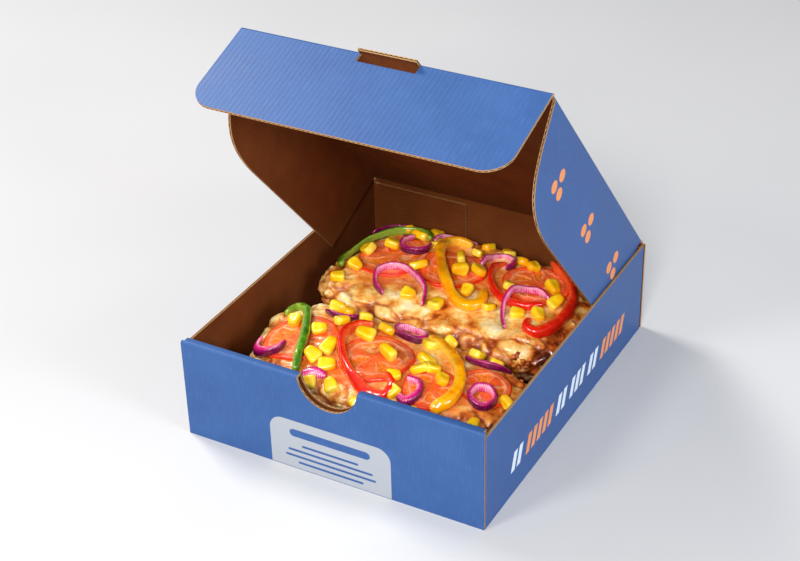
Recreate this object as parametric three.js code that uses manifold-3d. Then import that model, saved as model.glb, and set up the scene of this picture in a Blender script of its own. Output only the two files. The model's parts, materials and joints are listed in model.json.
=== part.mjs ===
// Pizza in its box: two puffy pizza halves side by side in an open corrugated tray
// with a hinged lid, two lid wings and a tuck-in front flap.
// Units are millimetres. +X is right, +Y is back, +Z is up.
// The origin is the centre of the tray's underside; the box is seen from -Y.

import * as THREE from 'three';
import { mergeVertices } from 'three/addons/utils/BufferGeometryUtils.js';
import Module from 'manifold-3d';

const wasm = await Module();
wasm.setup();

// ---- Driving dimensions of the box ----
const BOARD = 1.6; // thickness of the corrugated board
const TRAY_WIDTH = 200; // outside, left to right
const TRAY_DEPTH = 232; // outside, front to back
const SIDE_HEIGHT = 63.7; // side walls
const BACK_HEIGHT = 63.2; // back wall, up to the hinge crease
const FRONT_HEIGHT = 67.3; // the rolled-over front wall stands a little higher
const FRONT_THICKNESS = 6.2; // outer panel, hollow and inner panel together
const REAR_TAB_START = 28; // the glued rear corner tabs reach in to this |x|
const REAR_TAB_HEIGHT = 61;
const NOTCH_RADIUS = 20; // thumb notch in the front wall
const NOTCH_DEPTH = 18.3;

const HINGE_HEIGHT = 64.6; // lid crease above the table
const CREASE_GAP = 1.4; // half of the soft crease left open between two panels
const LID_LENGTH = 223.7; // hinge crease to front fold
const LID_OPENING = 49; // degrees above the horizontal, as it stands open
const WING_OUTER = 98.1; // |x| of a wing's outer face, inside the side walls
const WING_DEPTH = 62;
const TAB_HALF_WIDTH = 18.5; // locking tab on the lid's front edge
const TAB_LENGTH = 6.3;
const FLAP_HALF_WIDTH = 97.8;
const FLAP_LENGTH = 59;
const FLAP_LEAN = 22; // degrees the flap springs outwards from square
const FLAP_CORNER = 16;
const FLAP_SLOT_DEPTH = 7; // cut-out that the locking tab was cut from

// ---- Driving dimensions of the food ----
const GAP = 0.35; // clearance between a topping and what it rests on
const CUT_GAP = 0.2; // least clearance that a cut leaves where two toppings cross
const RIM_HEIGHT = 37; // height of a half's widest line
const RIM_TOP = 41.5; // where the top surface starts to round over
const CROWN_HEIGHT = 46.5;
const UNDERSIDE = BOARD + GAP;
const ROUND_SEGMENTS = 44;

const HINGE_Y = TRAY_DEPTH / 2 - BOARD / 2;
const radians = THREE.MathUtils.degToRad;

// ---- Colours ----
const finish = (color, roughness) => new THREE.MeshStandardMaterial({ color, roughness, metalness: 0 });
const COLOURS = {
  board: () => finish(0x4a6fb0, 0.7),
  crust: () => finish(0xd8a560, 0.6),
  tomato: () => finish(0xe0552e, 0.35),
  greenPepper: () => finish(0x3f7a1e, 0.3),
  redPepper: () => finish(0xc8201a, 0.3),
  yellowPepper: () => finish(0xf0a90f, 0.3),
  redOnion: () => finish(0xa02a6a, 0.35),
};

// ---- Solids: closed geometry in, closed geometry out ----
function toSolid(geometry) {
  const bare = geometry.clone();
  bare.deleteAttribute('normal');
  bare.deleteAttribute('uv');
  const merged = mergeVertices(bare, 1e-4);
  return new wasm.Manifold(new wasm.Mesh({
    numProp: 3,
    vertProperties: new Float32Array(merged.attributes.position.array),
    triVerts: new Uint32Array(merged.index.array),
  }));
}

function toGeometry(solid) {
  const mesh = solid.getMesh();
  const geometry = new THREE.BufferGeometry();
  geometry.setAttribute('position', new THREE.BufferAttribute(mesh.vertProperties, 3));
  geometry.setIndex(new THREE.BufferAttribute(mesh.triVerts, 1));
  geometry.computeVertexNormals();
  return geometry;
}

function block(low, high) {
  const size = high.map((value, axis) => value - low[axis]);
  const geometry = new THREE.BoxGeometry(...size);
  geometry.translate(...low.map((value, axis) => value + size[axis] / 2));
  return toSolid(geometry);
}

function joined(solids) {
  return solids.reduce((whole, solid) => whole.add(solid));
}

// The largest body of a cut, so that no loose sliver is left beside it.
function largestBody(solid) {
  const bodies = solid.decompose();
  return bodies.reduce((best, body) => (body.volume() > best.volume() ? body : best));
}

// A closed skin through rings of points; a ring of one point closes an end.
function skin(rings) {
  const positions = [];
  const starts = rings.map((ring) => {
    const start = positions.length / 3;
    ring.forEach((point) => positions.push(...point));
    return start;
  });
  const triangles = [];
  for (let row = 0; row + 1 < rings.length; row += 1) {
    const [lower, upper] = [rings[row], rings[row + 1]];
    const count = Math.max(lower.length, upper.length);
    for (let step = 0; step < count; step += 1) {
      const next = (step + 1) % count;
      const at = (ring, index) => starts[ring] + (rings[ring].length === 1 ? 0 : index);
      if (lower.length > 1) triangles.push(at(row, step), at(row, next), at(row + 1, next));
      if (upper.length > 1) triangles.push(at(row, step), at(row + 1, next), at(row + 1, step));
    }
  }
  const geometry = new THREE.BufferGeometry();
  geometry.setAttribute('position', new THREE.Float32BufferAttribute(positions, 3));
  geometry.setIndex(triangles);
  return geometry;
}

// ---- Tray: floor, four walls, glued rear tabs and the rolled-over front ----
function traySolid() {
  const halfWidth = TRAY_WIDTH / 2;
  const halfDepth = TRAY_DEPTH / 2;
  const innerX = halfWidth - BOARD;
  const frontInner = FRONT_THICKNESS - halfDepth;
  const floor = block([-halfWidth, -halfDepth, 0], [halfWidth, halfDepth, BOARD]);
  const back = block([-halfWidth, halfDepth - BOARD, 0], [halfWidth, halfDepth, BACK_HEIGHT]);
  const sides = [-1, 1].map((side) => {
    const [inner, outer] = [side * innerX, side * halfWidth].sort((a, b) => a - b);
    return block([inner, -halfDepth + BOARD / 2, 0], [outer, halfDepth, SIDE_HEIGHT]);
  });
  const rearTabs = [-1, 1].map((side) => {
    const [inner, outer] = [side * REAR_TAB_START, side * (innerX + BOARD / 2)].sort((a, b) => a - b);
    return block([inner, halfDepth - 2 * BOARD, BOARD / 2], [outer, halfDepth - BOARD / 2, REAR_TAB_HEIGHT]);
  });
  const outerPanel = block([-halfWidth, -halfDepth, 0], [halfWidth, BOARD - halfDepth, FRONT_HEIGHT]);
  const innerPanel = block([-innerX, frontInner - BOARD, BOARD / 2], [innerX, frontInner, FRONT_HEIGHT]);
  const strip = block([-innerX, -halfDepth, FRONT_HEIGHT - BOARD], [innerX, frontInner, FRONT_HEIGHT]);
  const notchShape = new THREE.Shape();
  notchShape.absarc(0, FRONT_HEIGHT - NOTCH_DEPTH + NOTCH_RADIUS, NOTCH_RADIUS, 0, 2 * Math.PI);
  const notch = new THREE.ExtrudeGeometry(notchShape, {
    depth: 2 * FRONT_THICKNESS,
    bevelEnabled: false,
    curveSegments: 40,
  });
  notch.rotateX(Math.PI / 2);
  notch.translate(0, FRONT_THICKNESS * 1.5 - halfDepth, 0);
  const walls = joined([floor, back, ...sides, ...rearTabs, outerPanel, innerPanel, strip]);
  return walls.subtract(toSolid(notch));
}

// ---- Lid, in its own frame: the hinge crease is the X axis, the panel runs to -Y ----
function lidSolid() {
  const panelEnd = LID_LENGTH - CREASE_GAP;
  const panel = block([-WING_OUTER, -panelEnd, -BOARD / 2], [WING_OUTER, -CREASE_GAP, BOARD / 2]);
  const tab = block(
    [-TAB_HALF_WIDTH, -LID_LENGTH - TAB_LENGTH, -BOARD / 2],
    [TAB_HALF_WIDTH, -panelEnd + BOARD, BOARD / 2],
  );
  // A wing's outline in the YZ plane: slanted rear edge, straight free edge, round front corner.
  const outline = new THREE.Shape();
  outline.moveTo(-3.5, 0);
  outline.lineTo(-24, -WING_DEPTH);
  outline.lineTo(-142, -WING_DEPTH);
  outline.bezierCurveTo(-192, -WING_DEPTH, -211, -34, -216.5, -13);
  outline.lineTo(-220.4, 0);
  outline.closePath();
  const wings = [-WING_OUTER, WING_OUTER - BOARD].map((start) => {
    const wing = new THREE.ExtrudeGeometry(outline, { depth: BOARD, bevelEnabled: false, curveSegments: 14 });
    // The shape is drawn in XY and extruded along Z: turn its axes to YZ and X.
    wing.applyMatrix4(new THREE.Matrix4().makeBasis(
      new THREE.Vector3(0, 1, 0),
      new THREE.Vector3(0, 0, 1),
      new THREE.Vector3(1, 0, 0),
    ));
    wing.translate(start, 0, 0);
    return toSolid(wing);
  });
  return joined([panel, tab, ...wings]);
}

// ---- Front flap, in its own frame: the fold is the X axis, the flap hangs to -Z ----
function flapGeometry() {
  const outline = new THREE.Shape();
  const low = -FLAP_LENGTH;
  const corner = FLAP_HALF_WIDTH - FLAP_CORNER;
  outline.moveTo(-FLAP_HALF_WIDTH, -CREASE_GAP);
  outline.lineTo(-FLAP_HALF_WIDTH, low + FLAP_CORNER);
  outline.absarc(-corner, low + FLAP_CORNER, FLAP_CORNER, Math.PI, 1.5 * Math.PI, false);
  outline.lineTo(corner, low);
  outline.absarc(corner, low + FLAP_CORNER, FLAP_CORNER, 1.5 * Math.PI, 2 * Math.PI, false);
  outline.lineTo(FLAP_HALF_WIDTH, -CREASE_GAP);
  outline.lineTo(TAB_HALF_WIDTH + GAP, -CREASE_GAP);
  outline.lineTo(TAB_HALF_WIDTH + GAP, -FLAP_SLOT_DEPTH);
  outline.lineTo(-TAB_HALF_WIDTH - GAP, -FLAP_SLOT_DEPTH);
  outline.lineTo(-TAB_HALF_WIDTH - GAP, -CREASE_GAP);
  outline.closePath();
  const flap = new THREE.ExtrudeGeometry(outline, { depth: BOARD, bevelEnabled: false, curveSegments: 8 });
  flap.rotateX(Math.PI / 2);
  flap.translate(0, BOARD / 2, 0);
  return flap;
}

// ---- Pizza halves ----
// Each half is a rounded oblong whose depth and centre line change a little from end to end.
const HALVES = {
  pizza_front: { centre: [2.5, -52.5], half: [92, 43.4], taper: -0.095, skew: -4, phase: 0.4 },
  pizza_back: { centre: [3, 46.5], half: [91.5, 54.6], taper: 0.075, skew: -4, phase: 2.1 },
};
const SQUARENESS = 3.6; // exponent of the oblong outline
// How far the side tucks in below the widest line, as [height, inset].
const SIDE_PROFILE = [[RIM_HEIGHT, 0], [30, 2.7], [22, 5.8], [15, 8.6], [9, 11], [4, 13.2], [UNDERSIDE, 16]];

function outlineWobble(half, angle) {
  return 1 + 0.018 * Math.sin(3 * angle + half.phase) + 0.012 * Math.sin(5 * angle - 2 * half.phase);
}

// The outline's reach in unit space, in the direction of an angle.
function outlineReach(half, angle) {
  const [c, s] = [Math.abs(Math.cos(angle)), Math.abs(Math.sin(angle))];
  const rounded = (c ** SQUARENESS + s ** SQUARENESS) ** (-1 / SQUARENESS);
  return rounded * outlineWobble(half, angle) / 1.03;
}

function placeOnHalf(half, unitX, unitY) {
  const x = half.centre[0] + half.half[0] * unitX;
  const y = half.centre[1] + half.skew * unitX + half.half[1] * (1 + half.taper * unitX) * unitY;
  return [x, y];
}

function shareOfOutline(half, x, y) {
  const unitX = (x - half.centre[0]) / half.half[0];
  const unitY = (y - half.centre[1] - half.skew * unitX) / (half.half[1] * (1 + half.taper * unitX));
  return Math.hypot(unitX, unitY) / outlineReach(half, Math.atan2(unitY, unitX));
}

// Height of the cheese at a point: a low dome with soft swells that rounds over at its edge.
function cheeseHeight(half, x, y) {
  const share = Math.min(shareOfOutline(half, x, y), 1);
  const dome = CROWN_HEIGHT - (CROWN_HEIGHT - RIM_TOP) * share ** 2.4;
  const swell = 0.8 * Math.sin(x / 12 + half.phase) * Math.cos(y / 13 - half.phase) * (1 - share ** 4);
  const roundOver = Math.max(0, (share - 0.86) / 0.14);
  return dome + swell - (RIM_TOP - RIM_HEIGHT) * (1 - Math.sqrt(1 - roundOver ** 2));
}

function pizzaGeometry(half) {
  const around = Array.from({ length: ROUND_SEGMENTS }, (_, step) => (2 * Math.PI * step) / ROUND_SEGMENTS);
  const topRings = [1, 0.985, 0.94, 0.86, 0.72, 0.55, 0.36, 0.18].map((share) => around.map((angle) => {
    const reach = outlineReach(half, angle) * share;
    const [x, y] = placeOnHalf(half, reach * Math.cos(angle), reach * Math.sin(angle));
    return [x, y, cheeseHeight(half, x, y)];
  }));
  const sideRings = SIDE_PROFILE.slice(1).reverse().map(([height, inset]) => around.map((angle) => {
    const reach = outlineReach(half, angle);
    const [x, y] = placeOnHalf(half, reach * Math.cos(angle), reach * Math.sin(angle));
    const [dx, dy] = [x - half.centre[0], y - half.centre[1]];
    const shrinkX = 1 - inset / half.half[0];
    const shrinkY = 1 - inset / half.half[1];
    return [half.centre[0] + dx * shrinkX, half.centre[1] + dy * shrinkY, height];
  }));
  const [middleX, middleY] = half.centre;
  return skin([
    [[middleX, middleY, UNDERSIDE]],
    ...sideRings,
    ...topRings,
    [[middleX, middleY, cheeseHeight(half, middleX, middleY)]],
  ]);
}

// ---- Toppings ----
// Tomato slices: [name, half, centre, radius]. A later slice leans on the earlier ones.
const SLICE_THICKNESS = 4.2;
const SLICES = [
  ['tomato_back_left', 'pizza_back', [-49, 51], 24],
  ['tomato_back_middle', 'pizza_back', [-6, 52], 22],
  ['tomato_back_right', 'pizza_back', [49, 61], 22],
  ['tomato_front_left', 'pizza_front', [-55, -56], 24],
  ['tomato_front_middle', 'pizza_front', [-1, -57], 23],
  ['tomato_front_inner', 'pizza_front', [42, -69], 17],
  ['tomato_front_right', 'pizza_front', [68, -52], 16],
];
const SLICE_BLEND = 8; // a strip climbs onto a slice over this distance

// What later toppings rest on: the cheese and the slices already laid.
function restingHeight(halfName, laid, x, y) {
  const lifted = laid
    .filter(([, sliceHalf]) => sliceHalf === halfName)
    .map(([, , [centreX, centreY], radius]) => {
      const beyond = Math.hypot(x - centreX, y - centreY) - radius - 1;
      return 1 - THREE.MathUtils.smoothstep(beyond, 0, SLICE_BLEND);
    });
  const lift = Math.max(0, ...lifted) * (SLICE_THICKNESS + GAP);
  return cheeseHeight(HALVES[halfName], x, y) + GAP + lift;
}

function sliceGeometry([, halfName, [centreX, centreY], radius], laid, grow) {
  const segments = 24;
  const rings = [[0.5, 0], [0.95, 0], [1, 0.5], [0.95, 1], [0.5, 1]].map(([share, level]) => (
    Array.from({ length: segments }, (_, step) => {
      const angle = (2 * Math.PI * step) / segments;
      const wobble = 1 + 0.02 * Math.sin(3 * angle + centreX) + 0.012 * Math.sin(5 * angle + centreY);
      const reach = share * (radius * wobble + grow);
      const [x, y] = [centreX + reach * Math.cos(angle), centreY + reach * Math.sin(angle)];
      const rise = level * (SLICE_THICKNESS + 2 * grow) - grow;
      return [x, y, restingHeight(halfName, laid, x, y) + rise];
    })
  ));
  const pole = (rise) => [[centreX, centreY, restingHeight(halfName, laid, centreX, centreY) + rise]];
  return skin([pole(-grow), ...rings, pole(SLICE_THICKNESS + grow)]);
}

// Strips follow a smooth path of [x, y] or [x, y, extra lift] points over the food.
// Each is {name, half, kind, width, height, path}; `closed` joins its ends into a ring.
const STRIPS = [
  {
    name: 'green_pepper_back', half: 'pizza_back', kind: 'greenPepper', width: 6, height: 6,
    path: [[-76, 28], [-80, 40], [-79, 54], [-74, 69], [-64, 82], [-52, 88], [-42, 85], [-36, 78]],
  },
  {
    name: 'onion_back_corner', half: 'pizza_back', kind: 'redOnion', width: 3.2, height: 5,
    path: [[-80, 76], [-74, 86], [-66, 91], [-56, 92]],
  },
  {
    name: 'onion_back_curl', half: 'pizza_back', kind: 'redOnion', width: 3.4, height: 5,
    path: [[-46, 75], [-50, 66], [-46, 58], [-37, 57], [-31, 62], [-31, 70]],
  },
  {
    name: 'onion_back_arch', half: 'pizza_back', kind: 'redOnion', width: 2.8, height: 5,
    path: [[-34, 9], [-44, 17], [-48, 28], [-43, 36], [-33, 37], [-21, 31], [-10, 21], [-5, 8]],
  },
  {
    name: 'yellow_pepper_back', half: 'pizza_back', kind: 'yellowPepper', width: 7.5, height: 7,
    path: [[-8, 85], [-18, 86], [-24, 79], [-22, 66], [-13, 50], [-2, 34], [10, 22], [21, 17], [27, 24], [24, 37]],
  },
  {
    name: 'onion_back_middle', half: 'pizza_back', kind: 'redOnion', width: 3.2, height: 5,
    path: [[-33, 77], [-33, 87], [-25, 95], [-10, 96]],
  },
  {
    name: 'onion_back_hook', half: 'pizza_back', kind: 'redOnion', width: 3.6, height: 5,
    path: [[9, 62], [9, 73], [16, 82], [25, 79], [28, 70], [26, 63]],
  },
  {
    name: 'red_pepper_back_thin', half: 'pizza_back', kind: 'redPepper', width: 4.2, height: 5,
    path: [[22, 73], [18, 64], [21, 52], [29, 41], [40, 34], [54, 33], [64, 39]],
  },
  {
    name: 'onion_back_right', half: 'pizza_back', kind: 'redOnion', width: 3, height: 5,
    path: [[64, 50, 1], [56, 54, 1], [46, 51, 1], [42, 42, 5.2], [42, 31, 5.2], [47, 18], [53, 9]],
  },
  {
    name: 'red_pepper_back', half: 'pizza_back', kind: 'redPepper', width: 6.5, height: 7,
    path: [[47, 88], [59, 78], [70, 67], [77, 54], [79, 38], [77, 22], [71, 13], [64, 14], [63, 21]],
  },
  {
    name: 'green_pepper_front', half: 'pizza_front', kind: 'greenPepper', width: 6, height: 7,
    path: [[-77, -38], [-77, -27], [-72, -26], [-64, -34], [-55, -49], [-48, -64], [-43, -78], [-40, -88]],
  },
  {
    name: 'onion_front_corner', half: 'pizza_front', kind: 'redOnion', width: 3.6, height: 5,
    path: [[-78, -64], [-76, -74], [-67, -79], [-59, -76], [-58, -68]],
  },
  {
    name: 'onion_front_curl', half: 'pizza_front', kind: 'redOnion', width: 3.6, height: 5,
    path: [[-56, -24], [-47, -28], [-37, -27], [-31, -20]],
  },
  {
    name: 'onion_front_wedge', half: 'pizza_front', kind: 'redOnion', width: 6, height: 4.5,
    path: [[-35, -89], [-29, -84], [-20, -84]],
  },
  {
    name: 'red_pepper_front', half: 'pizza_front', kind: 'redPepper', width: 5.5, height: 6.5,
    path: [
      [-19, -28], [-27, -35], [-29, -46], [-24, -59], [-13, -73], [-1, -83], [11, -88],
      [20, -87], [21, -79], [14, -73],
    ],
  },
  {
    name: 'onion_front_ring', half: 'pizza_front', kind: 'redOnion', width: 3.2, height: 5.5, closed: true,
    path: [[-6, -21], [1, -15], [11, -17], [15, -25], [8, -31], [-2, -29]],
  },
  {
    name: 'yellow_pepper_front', half: 'pizza_front', kind: 'yellowPepper', width: 8, height: 7,
    path: [[16, -22], [29, -29], [41, -39], [51, -51], [57, -64], [57, -77], [51, -87]],
  },
  {
    name: 'onion_front_arc', half: 'pizza_front', kind: 'redOnion', width: 3.2, height: 5,
    path: [[46, -33], [56, -36], [66, -34], [74, -27]],
  },
  {
    name: 'onion_front_right', half: 'pizza_front', kind: 'redOnion', width: 3, height: 5, closed: true,
    path: [[66, -67], [66, -58], [73, -55], [79, -60], [78, -68], [72, -71]],
  },
  {
    name: 'onion_front_hook', half: 'pizza_front', kind: 'redOnion', width: 4, height: 5,
    path: [[27, -71, 0.6], [35, -71], [39, -79], [35, -87], [28, -85]],
  },
];
const SECTION_SIDES = 7;
const STEP_LENGTH = 5; // distance between the sections of a strip
const END_TAPER = 0.55; // a cut end is this much of the full section

function stripGeometry(strip, grow) {
  const points = strip.path.map(([x, y, lift = 0]) => new THREE.Vector3(x, y, lift));
  const curve = new THREE.CatmullRomCurve3(points, Boolean(strip.closed), 'centripetal');
  const steps = Math.max(6, Math.round(curve.getLength() / STEP_LENGTH));
  const rings = Array.from({ length: strip.closed ? steps : steps + 1 }, (_, step) => {
    const share = step / steps;
    const { x, y, z: lift } = curve.getPointAt(share);
    const along = curve.getTangentAt(share).setZ(0).normalize();
    const isEnd = !strip.closed && (step === 0 || step === steps);
    const scale = isEnd ? END_TAPER : 1;
    const reachAlong = isEnd ? grow * (step === 0 ? -1 : 1) : 0;
    return Array.from({ length: SECTION_SIDES }, (__, side) => {
      const angle = (2 * Math.PI * (side + 0.5)) / SECTION_SIDES;
      const across = Math.cos(angle) * ((strip.width / 2) * scale + grow);
      const rise = Math.sin(angle) * ((strip.height / 2) * scale + grow) + strip.height / 2;
      const px = x + along.y * across + along.x * reachAlong;
      const py = y - along.x * across + along.y * reachAlong;
      return [px, py, restingHeight(strip.half, SLICES, px, py) + lift + rise];
    });
  });
  if (strip.closed) return ringGeometry(rings);
  const middle = (ring) => [ring.reduce(
    (sum, point) => sum.map((value, axis) => value + point[axis] / ring.length),
    [0, 0, 0],
  )];
  return skin([middle(rings[0]), ...rings, middle(rings[rings.length - 1])]);
}

// A closed loop of sections, as in an onion ring.
function ringGeometry(rings) {
  const triangles = [];
  rings.forEach((ring, row) => {
    const nextRow = (row + 1) % rings.length;
    ring.forEach((_, side) => {
      const nextSide = (side + 1) % ring.length;
      const [a, b] = [row * ring.length + side, row * ring.length + nextSide];
      const [c, d] = [nextRow * ring.length + nextSide, nextRow * ring.length + side];
      triangles.push(a, b, c, a, c, d);
    });
  });
  const geometry = new THREE.BufferGeometry();
  geometry.setAttribute('position', new THREE.Float32BufferAttribute(rings.flat(2), 3));
  geometry.setIndex(triangles);
  return geometry;
}

// The cheese raised by the clearance, so that a topping cut by it lies just above.
function raised(solid) {
  return solid.translate(0, 0, CUT_GAP);
}

function outward(solid) {
  return solid.volume() > 0 ? solid : toSolid(flipped(solid));
}

function flipped(solid) {
  const geometry = toGeometry(solid);
  const index = geometry.index.array;
  for (let start = 0; start < index.length; start += 3) {
    [index[start], index[start + 1]] = [index[start + 1], index[start]];
  }
  return geometry;
}

// ---- Assembly ----
const group = new THREE.Group();

function addMesh(parent, name, geometry, material) {
  const mesh = new THREE.Mesh(geometry, material);
  mesh.name = name;
  parent.add(mesh);
  return mesh;
}

addMesh(group, 'tray', toGeometry(traySolid()), COLOURS.board());

const lidGroup = new THREE.Group();
lidGroup.position.set(0, HINGE_Y, HINGE_HEIGHT);
lidGroup.rotation.x = -radians(LID_OPENING);
addMesh(lidGroup, 'lid', toGeometry(lidSolid()), COLOURS.board());
group.add(lidGroup);

const flapGroup = new THREE.Group();
flapGroup.position.set(0, -LID_LENGTH, 0);
flapGroup.rotation.x = -radians(FLAP_LEAN);
addMesh(flapGroup, 'front_flap', toGeometry(toSolid(flapGeometry())), COLOURS.board());
lidGroup.add(flapGroup);

const halfSolids = {};
for (const [name, half] of Object.entries(HALVES)) {
  halfSolids[name] = outward(toSolid(pizzaGeometry(half)));
  addMesh(group, name, toGeometry(halfSolids[name]), COLOURS.crust());
}

// Each topping is cut clear of the cheese and of everything laid before it.
const cutters = [];

function layTopping(name, halfName, kind, exact, grown) {
  const base = raised(halfSolids[halfName]);
  const below = cutters.filter((cutter) => cutter.halfName === halfName).map((cutter) => cutter.solid);
  const clear = [base, ...below].reduce((solid, cutter) => solid.subtract(cutter), exact);
  addMesh(group, name, toGeometry(largestBody(clear)), COLOURS[kind]());
  cutters.push({ halfName, solid: grown });
}

SLICES.forEach((slice, index) => {
  const laid = SLICES.slice(0, index);
  const exact = outward(toSolid(sliceGeometry(slice, laid, 0)));
  const grown = outward(toSolid(sliceGeometry(slice, laid, CUT_GAP)));
  layTopping(slice[0], slice[1], 'tomato', exact, grown);
});

STRIPS.forEach((strip) => {
  const exact = outward(toSolid(stripGeometry(strip, 0)));
  const grown = outward(toSolid(stripGeometry(strip, CUT_GAP)));
  layTopping(strip.name, strip.half, strip.kind, exact, grown);
});

export default group;
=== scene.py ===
"""Pizza in its corrugated takeaway box: the looks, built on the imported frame."""

import json
import logging
import math
from dataclasses import dataclass, field
from enum import Enum
from typing import Callable, Iterable, Sequence

import bmesh
import bpy
import numpy as np
from mathutils import Euler, Matrix, Vector


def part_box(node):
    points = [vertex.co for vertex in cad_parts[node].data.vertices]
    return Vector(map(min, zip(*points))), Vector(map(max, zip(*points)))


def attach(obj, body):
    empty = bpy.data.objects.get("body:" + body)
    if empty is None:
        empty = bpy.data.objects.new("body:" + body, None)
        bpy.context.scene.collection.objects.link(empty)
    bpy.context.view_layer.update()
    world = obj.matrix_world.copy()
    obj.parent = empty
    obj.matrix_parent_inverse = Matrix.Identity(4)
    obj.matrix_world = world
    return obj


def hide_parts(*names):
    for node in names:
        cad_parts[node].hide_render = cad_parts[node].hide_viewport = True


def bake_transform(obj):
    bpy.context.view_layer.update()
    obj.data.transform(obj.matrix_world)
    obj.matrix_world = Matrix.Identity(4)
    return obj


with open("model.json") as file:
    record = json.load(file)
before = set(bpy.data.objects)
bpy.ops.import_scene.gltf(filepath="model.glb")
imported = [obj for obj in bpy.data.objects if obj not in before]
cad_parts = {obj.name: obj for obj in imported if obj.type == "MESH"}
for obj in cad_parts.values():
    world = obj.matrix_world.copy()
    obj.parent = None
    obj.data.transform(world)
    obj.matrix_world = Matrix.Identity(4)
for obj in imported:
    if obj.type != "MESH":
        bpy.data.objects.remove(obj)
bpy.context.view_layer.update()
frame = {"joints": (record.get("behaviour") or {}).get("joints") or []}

logging.basicConfig(level=logging.INFO, format="%(message)s")
LOG = logging.getLogger("pizza_box")

MM = 0.001  # sizes below are in millimetres, and meshes are in metres
BOARD = 1.6  # thickness of the corrugated board
LINER = 0.32  # thickness of a liner
FLUTE_SHEET = 0.22  # thickness of the fluted middle paper
FLUTE_PITCH = 3.1  # distance between the flutes
INK_LIFT = 0.07  # how far a printed shape stands out
LABEL_FOOT = 0.4  # how far above the table the label ends
SEAM = 0.05  # gap between panels that meet
TAB_PLAY = 0.3  # gap on each side of the locking tab
BEYOND = 9.0  # how far a cutter reaches past what it cuts
Points = np.ndarray
Outline = list[tuple[float, float]]
Place = Callable[[Points, Points, Points], Points]


# ---------------------------------------------------------------- small helpers
def srgb(red: int, green: int, blue: int) -> tuple[float, float, float, float]:
    """Turns a screen colour into the linear colour that a shader takes.

    Args:
        red, green, blue: channels from 0 to 255.

    Returns:
        Linear red, green, blue and an alpha of one.
    """
    linear = [((c / 255 + 0.055) / 1.055) ** 2.4 if c > 10 else c / 3295 for c in (red, green, blue)]
    return (linear[0], linear[1], linear[2], 1.0)


def smoothstep(low: float, high: float, value: Points) -> Points:
    """Returns 0 below low, 1 above high, and a smooth rise between them."""
    share = np.clip((value - low) / (high - low), 0, 1)
    return share * share * (3 - 2 * share)


HASH_PRIMES = (374761393, 668265263, 1103515245)  # one for each axis, to scramble a cell's position
SEED_PRIME = 97463477


def lattice_value(cell: Points, seed: int) -> Points:
    """Gives each whole-number cell a repeatable value.

    Args:
        cell: whole numbers, (..., 3).
        seed: which of the many patterns.

    Returns:
        Values from -1 to 1.
    """
    mixed = cell @ np.array(HASH_PRIMES) + seed * SEED_PRIME
    mixed = mixed & 0xFFFFFFFF
    mixed = ((mixed ^ (mixed >> 13)) * 1274126177) & 0xFFFFFFFF
    return ((mixed ^ (mixed >> 16)) & 0xFFFF) / 32767.5 - 1


def noise(points: Points, size: float, seed: int = 0, octaves: int = 1) -> Points:
    """Smooth lumps of a given size.

    Args:
        points: positions, (..., 3).
        size: distance between lumps, in the points' unit.
        seed: which pattern.
        octaves: how many finer layers are added, each half as large and half as strong.

    Returns:
        Values from about -1 to 1.
    """
    total = np.zeros(points.shape[:-1])
    strength = 1.0
    for octave in range(octaves):
        scaled = points / size + 17.3 * octave + 5.1 * seed
        cell = np.floor(scaled).astype(np.int64)
        part = scaled - cell
        part = part * part * (3 - 2 * part)
        value = np.zeros(points.shape[:-1])
        for corner in np.ndindex(2, 2, 2):
            weight = np.prod(np.where(np.array(corner) == 1, part, 1 - part), axis=-1)
            value += weight * lattice_value(cell + np.array(corner), seed + octave)
        total += strength * value
        strength *= 0.5
        size *= 0.5
    return total


def billow(points: Points, size: float, seed: int = 0) -> tuple[Points, Points]:
    """Rounded lumps with creases between them.

    Args:
        points: positions, (..., 3).
        size: width of a lump, in the points' unit.
        seed: which pattern.

    Returns:
        How high each place stands on its lump, 0 to 1, and how near it is to a crease, 0 to 1.
    """
    scaled = points / size + 31.7 * seed
    cell = np.floor(scaled).astype(np.int64)
    nearest = np.full(points.shape[:-1], 9.0)
    second = nearest.copy()
    for corner in np.ndindex(3, 3, 3):
        near = cell + np.array(corner) - 1
        jitter = np.stack([lattice_value(near, seed + axis) for axis in range(3)], -1) * 0.42 + 0.5
        distance = np.linalg.norm(near + jitter - scaled, axis=-1)
        second = np.minimum(second, np.maximum(nearest, distance))
        nearest = np.minimum(nearest, distance)
    return np.sqrt(np.clip(1 - (nearest / 1.05) ** 2, 0, 1)), 1 - smoothstep(0.0, 0.22, second - nearest)


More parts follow.
